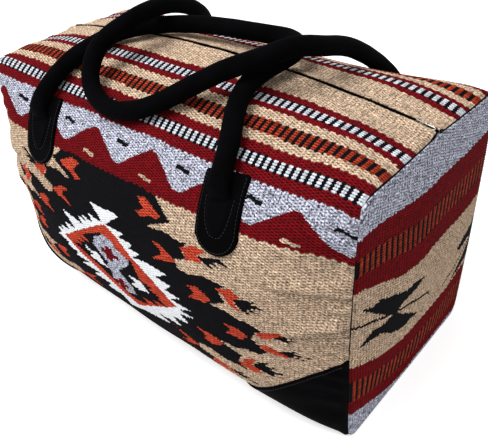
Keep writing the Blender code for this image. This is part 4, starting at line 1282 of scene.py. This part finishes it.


# Zip: nylon coil on a woven tape, with a nickel slider, stops and a pull of bent wire. The
# turns of the coil and the ribs of the tape are too small for geometry, so they are bumps
# with painted shade in their hollows.
TAPE_HEX = "#1A1312"
COIL_HEX = "#241B18"
NICKEL_HEX = "#C9C6C0"
COIL_PITCH = 0.0013
TAPE_PITCH = 0.0007
PULL_REACH = (0.24480, 0.26018)
PULL_HEIGHT = 0.0023
PULL_HALF_WIDTH = 0.0029
WIRE_RADIUS = 0.00054
WIRE_STEPS = 48
WIRE_SIDES = 10
RUBBED_PER_METRE = 500.0


def ribbed_material(name, colour, roughness, pitch):
    """One colour with ribs across the zip: a sine of X whose hollows lie lower and are darkened as
    painted shade.
    """
    material, tree = new_material(name)
    place = add_node(tree, "TexCoord").outputs["Object"]
    place = add_node(tree, "SeparateXYZ", {"Vector": place})
    turn = add_node(tree, "Math", {0: place.outputs["X"], 1: 2 * math.pi / pitch}, operation="MULTIPLY")
    rib = add_node(tree, "Math", {0: turn}, operation="SINE")
    # Painted shade: the colour is darker in the ribs' hollows
    level = add_node(tree, "Math", {0: rib, 1: 0.35, 2: 0.8}, operation="MULTIPLY_ADD")
    colour = add_node(tree, "VectorMath", {0: linear(colour), "Scale": level}, operation="SCALE")
    bump = add_node(tree, "Bump", {"Height": rib, "Strength": 0.8, "Distance": 0.0003})
    shader = add_node(tree, "BsdfPrincipled", {"Base Color": colour, "Roughness": roughness,
                      "Normal": bump})
    add_node(tree, "OutputMaterial", {"Surface": shader})
    return material


def nickel_plate():
    """Nickel-plated zinc, rubbed dull by use: the roughness wanders over about 2 mm."""
    material, tree = new_material("nickel_plate")
    place = add_node(tree, "TexCoord").outputs["Object"]
    rub = add_node(tree, "TexNoise", {"Vector": place, "Scale": RUBBED_PER_METRE, "Detail": 2.0})
    rough = add_node(tree, "MapRange", {"Value": rub, "From Min": 0.3, "From Max": 0.7,
                     "To Min": 0.18, "To Max": 0.40})
    shader = add_node(tree, "BsdfPrincipled", {"Base Color": (*linear(NICKEL_HEX), 1),
                      "Metallic": 1.0, "Roughness": rough})
    add_node(tree, "OutputMaterial", {"Surface": shader})
    return material


def wire_pull(material):
    """Closed loop of round wire, two half circles joined by straight sides, flat on the zip."""
    bend = PULL_HALF_WIDTH - WIRE_RADIUS
    turn = np.linspace(0, 2 * math.pi, WIRE_STEPS, endpoint=False)
    straight = (PULL_REACH[1] - PULL_REACH[0]) / 2 - PULL_HALF_WIDTH
    middle = sum(PULL_REACH) / 2
    x = middle + np.sign(np.cos(turn)) * straight + bend * np.cos(turn)
    line = np.stack([x, bend * np.sin(turn), zip_height(x) + PULL_HEIGHT], axis=-1)
    aside = np.stack([np.cos(turn), np.sin(turn), -x / ZIP_RADIUS * np.cos(turn)], axis=-1)
    up = np.array([middle / ZIP_RADIUS, 0.0, 1.0])
    round_wire = np.arange(WIRE_SIDES) * 2 * math.pi / WIRE_SIDES
    points = line[:, None] + WIRE_RADIUS * np.cos(round_wire)[:, None] * aside[:, None]
    points = points + WIRE_RADIUS * np.sin(round_wire)[:, None] * up
    i, k = np.arange(WIRE_STEPS)[:, None] * WIRE_SIDES, np.arange(WIRE_SIDES)[None, :]
    after, other = np.roll(i, -1, axis=0), np.roll(k, -1, axis=1)
    quads = np.stack([i + k, after + k, after + other, i + other], axis=-1)
    return add_piece("wire_pull", points, quads.reshape(-1, 4), material)


zip_tape = ribbed_material("polyester_zip_tape", TAPE_HEX, 0.9, TAPE_PITCH)
zip_coil = ribbed_material("nylon_zip_coil", COIL_HEX, 0.4, COIL_PITCH)
nickel = nickel_plate()
pull = wire_pull(nickel)
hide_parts("zipper_pull")
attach(pull, "pull")
for node, material in (("zipper_tape_front", zip_tape), ("zipper_tape_back", zip_tape),
                       ("zipper_chain_front", zip_coil), ("zipper_chain_back", zip_coil),
                       ("zipper_stop_left", nickel), ("zipper_stop_right", nickel),
                       ("zipper_slider", nickel)):
    bpy.data.objects[node].data.materials[0] = material
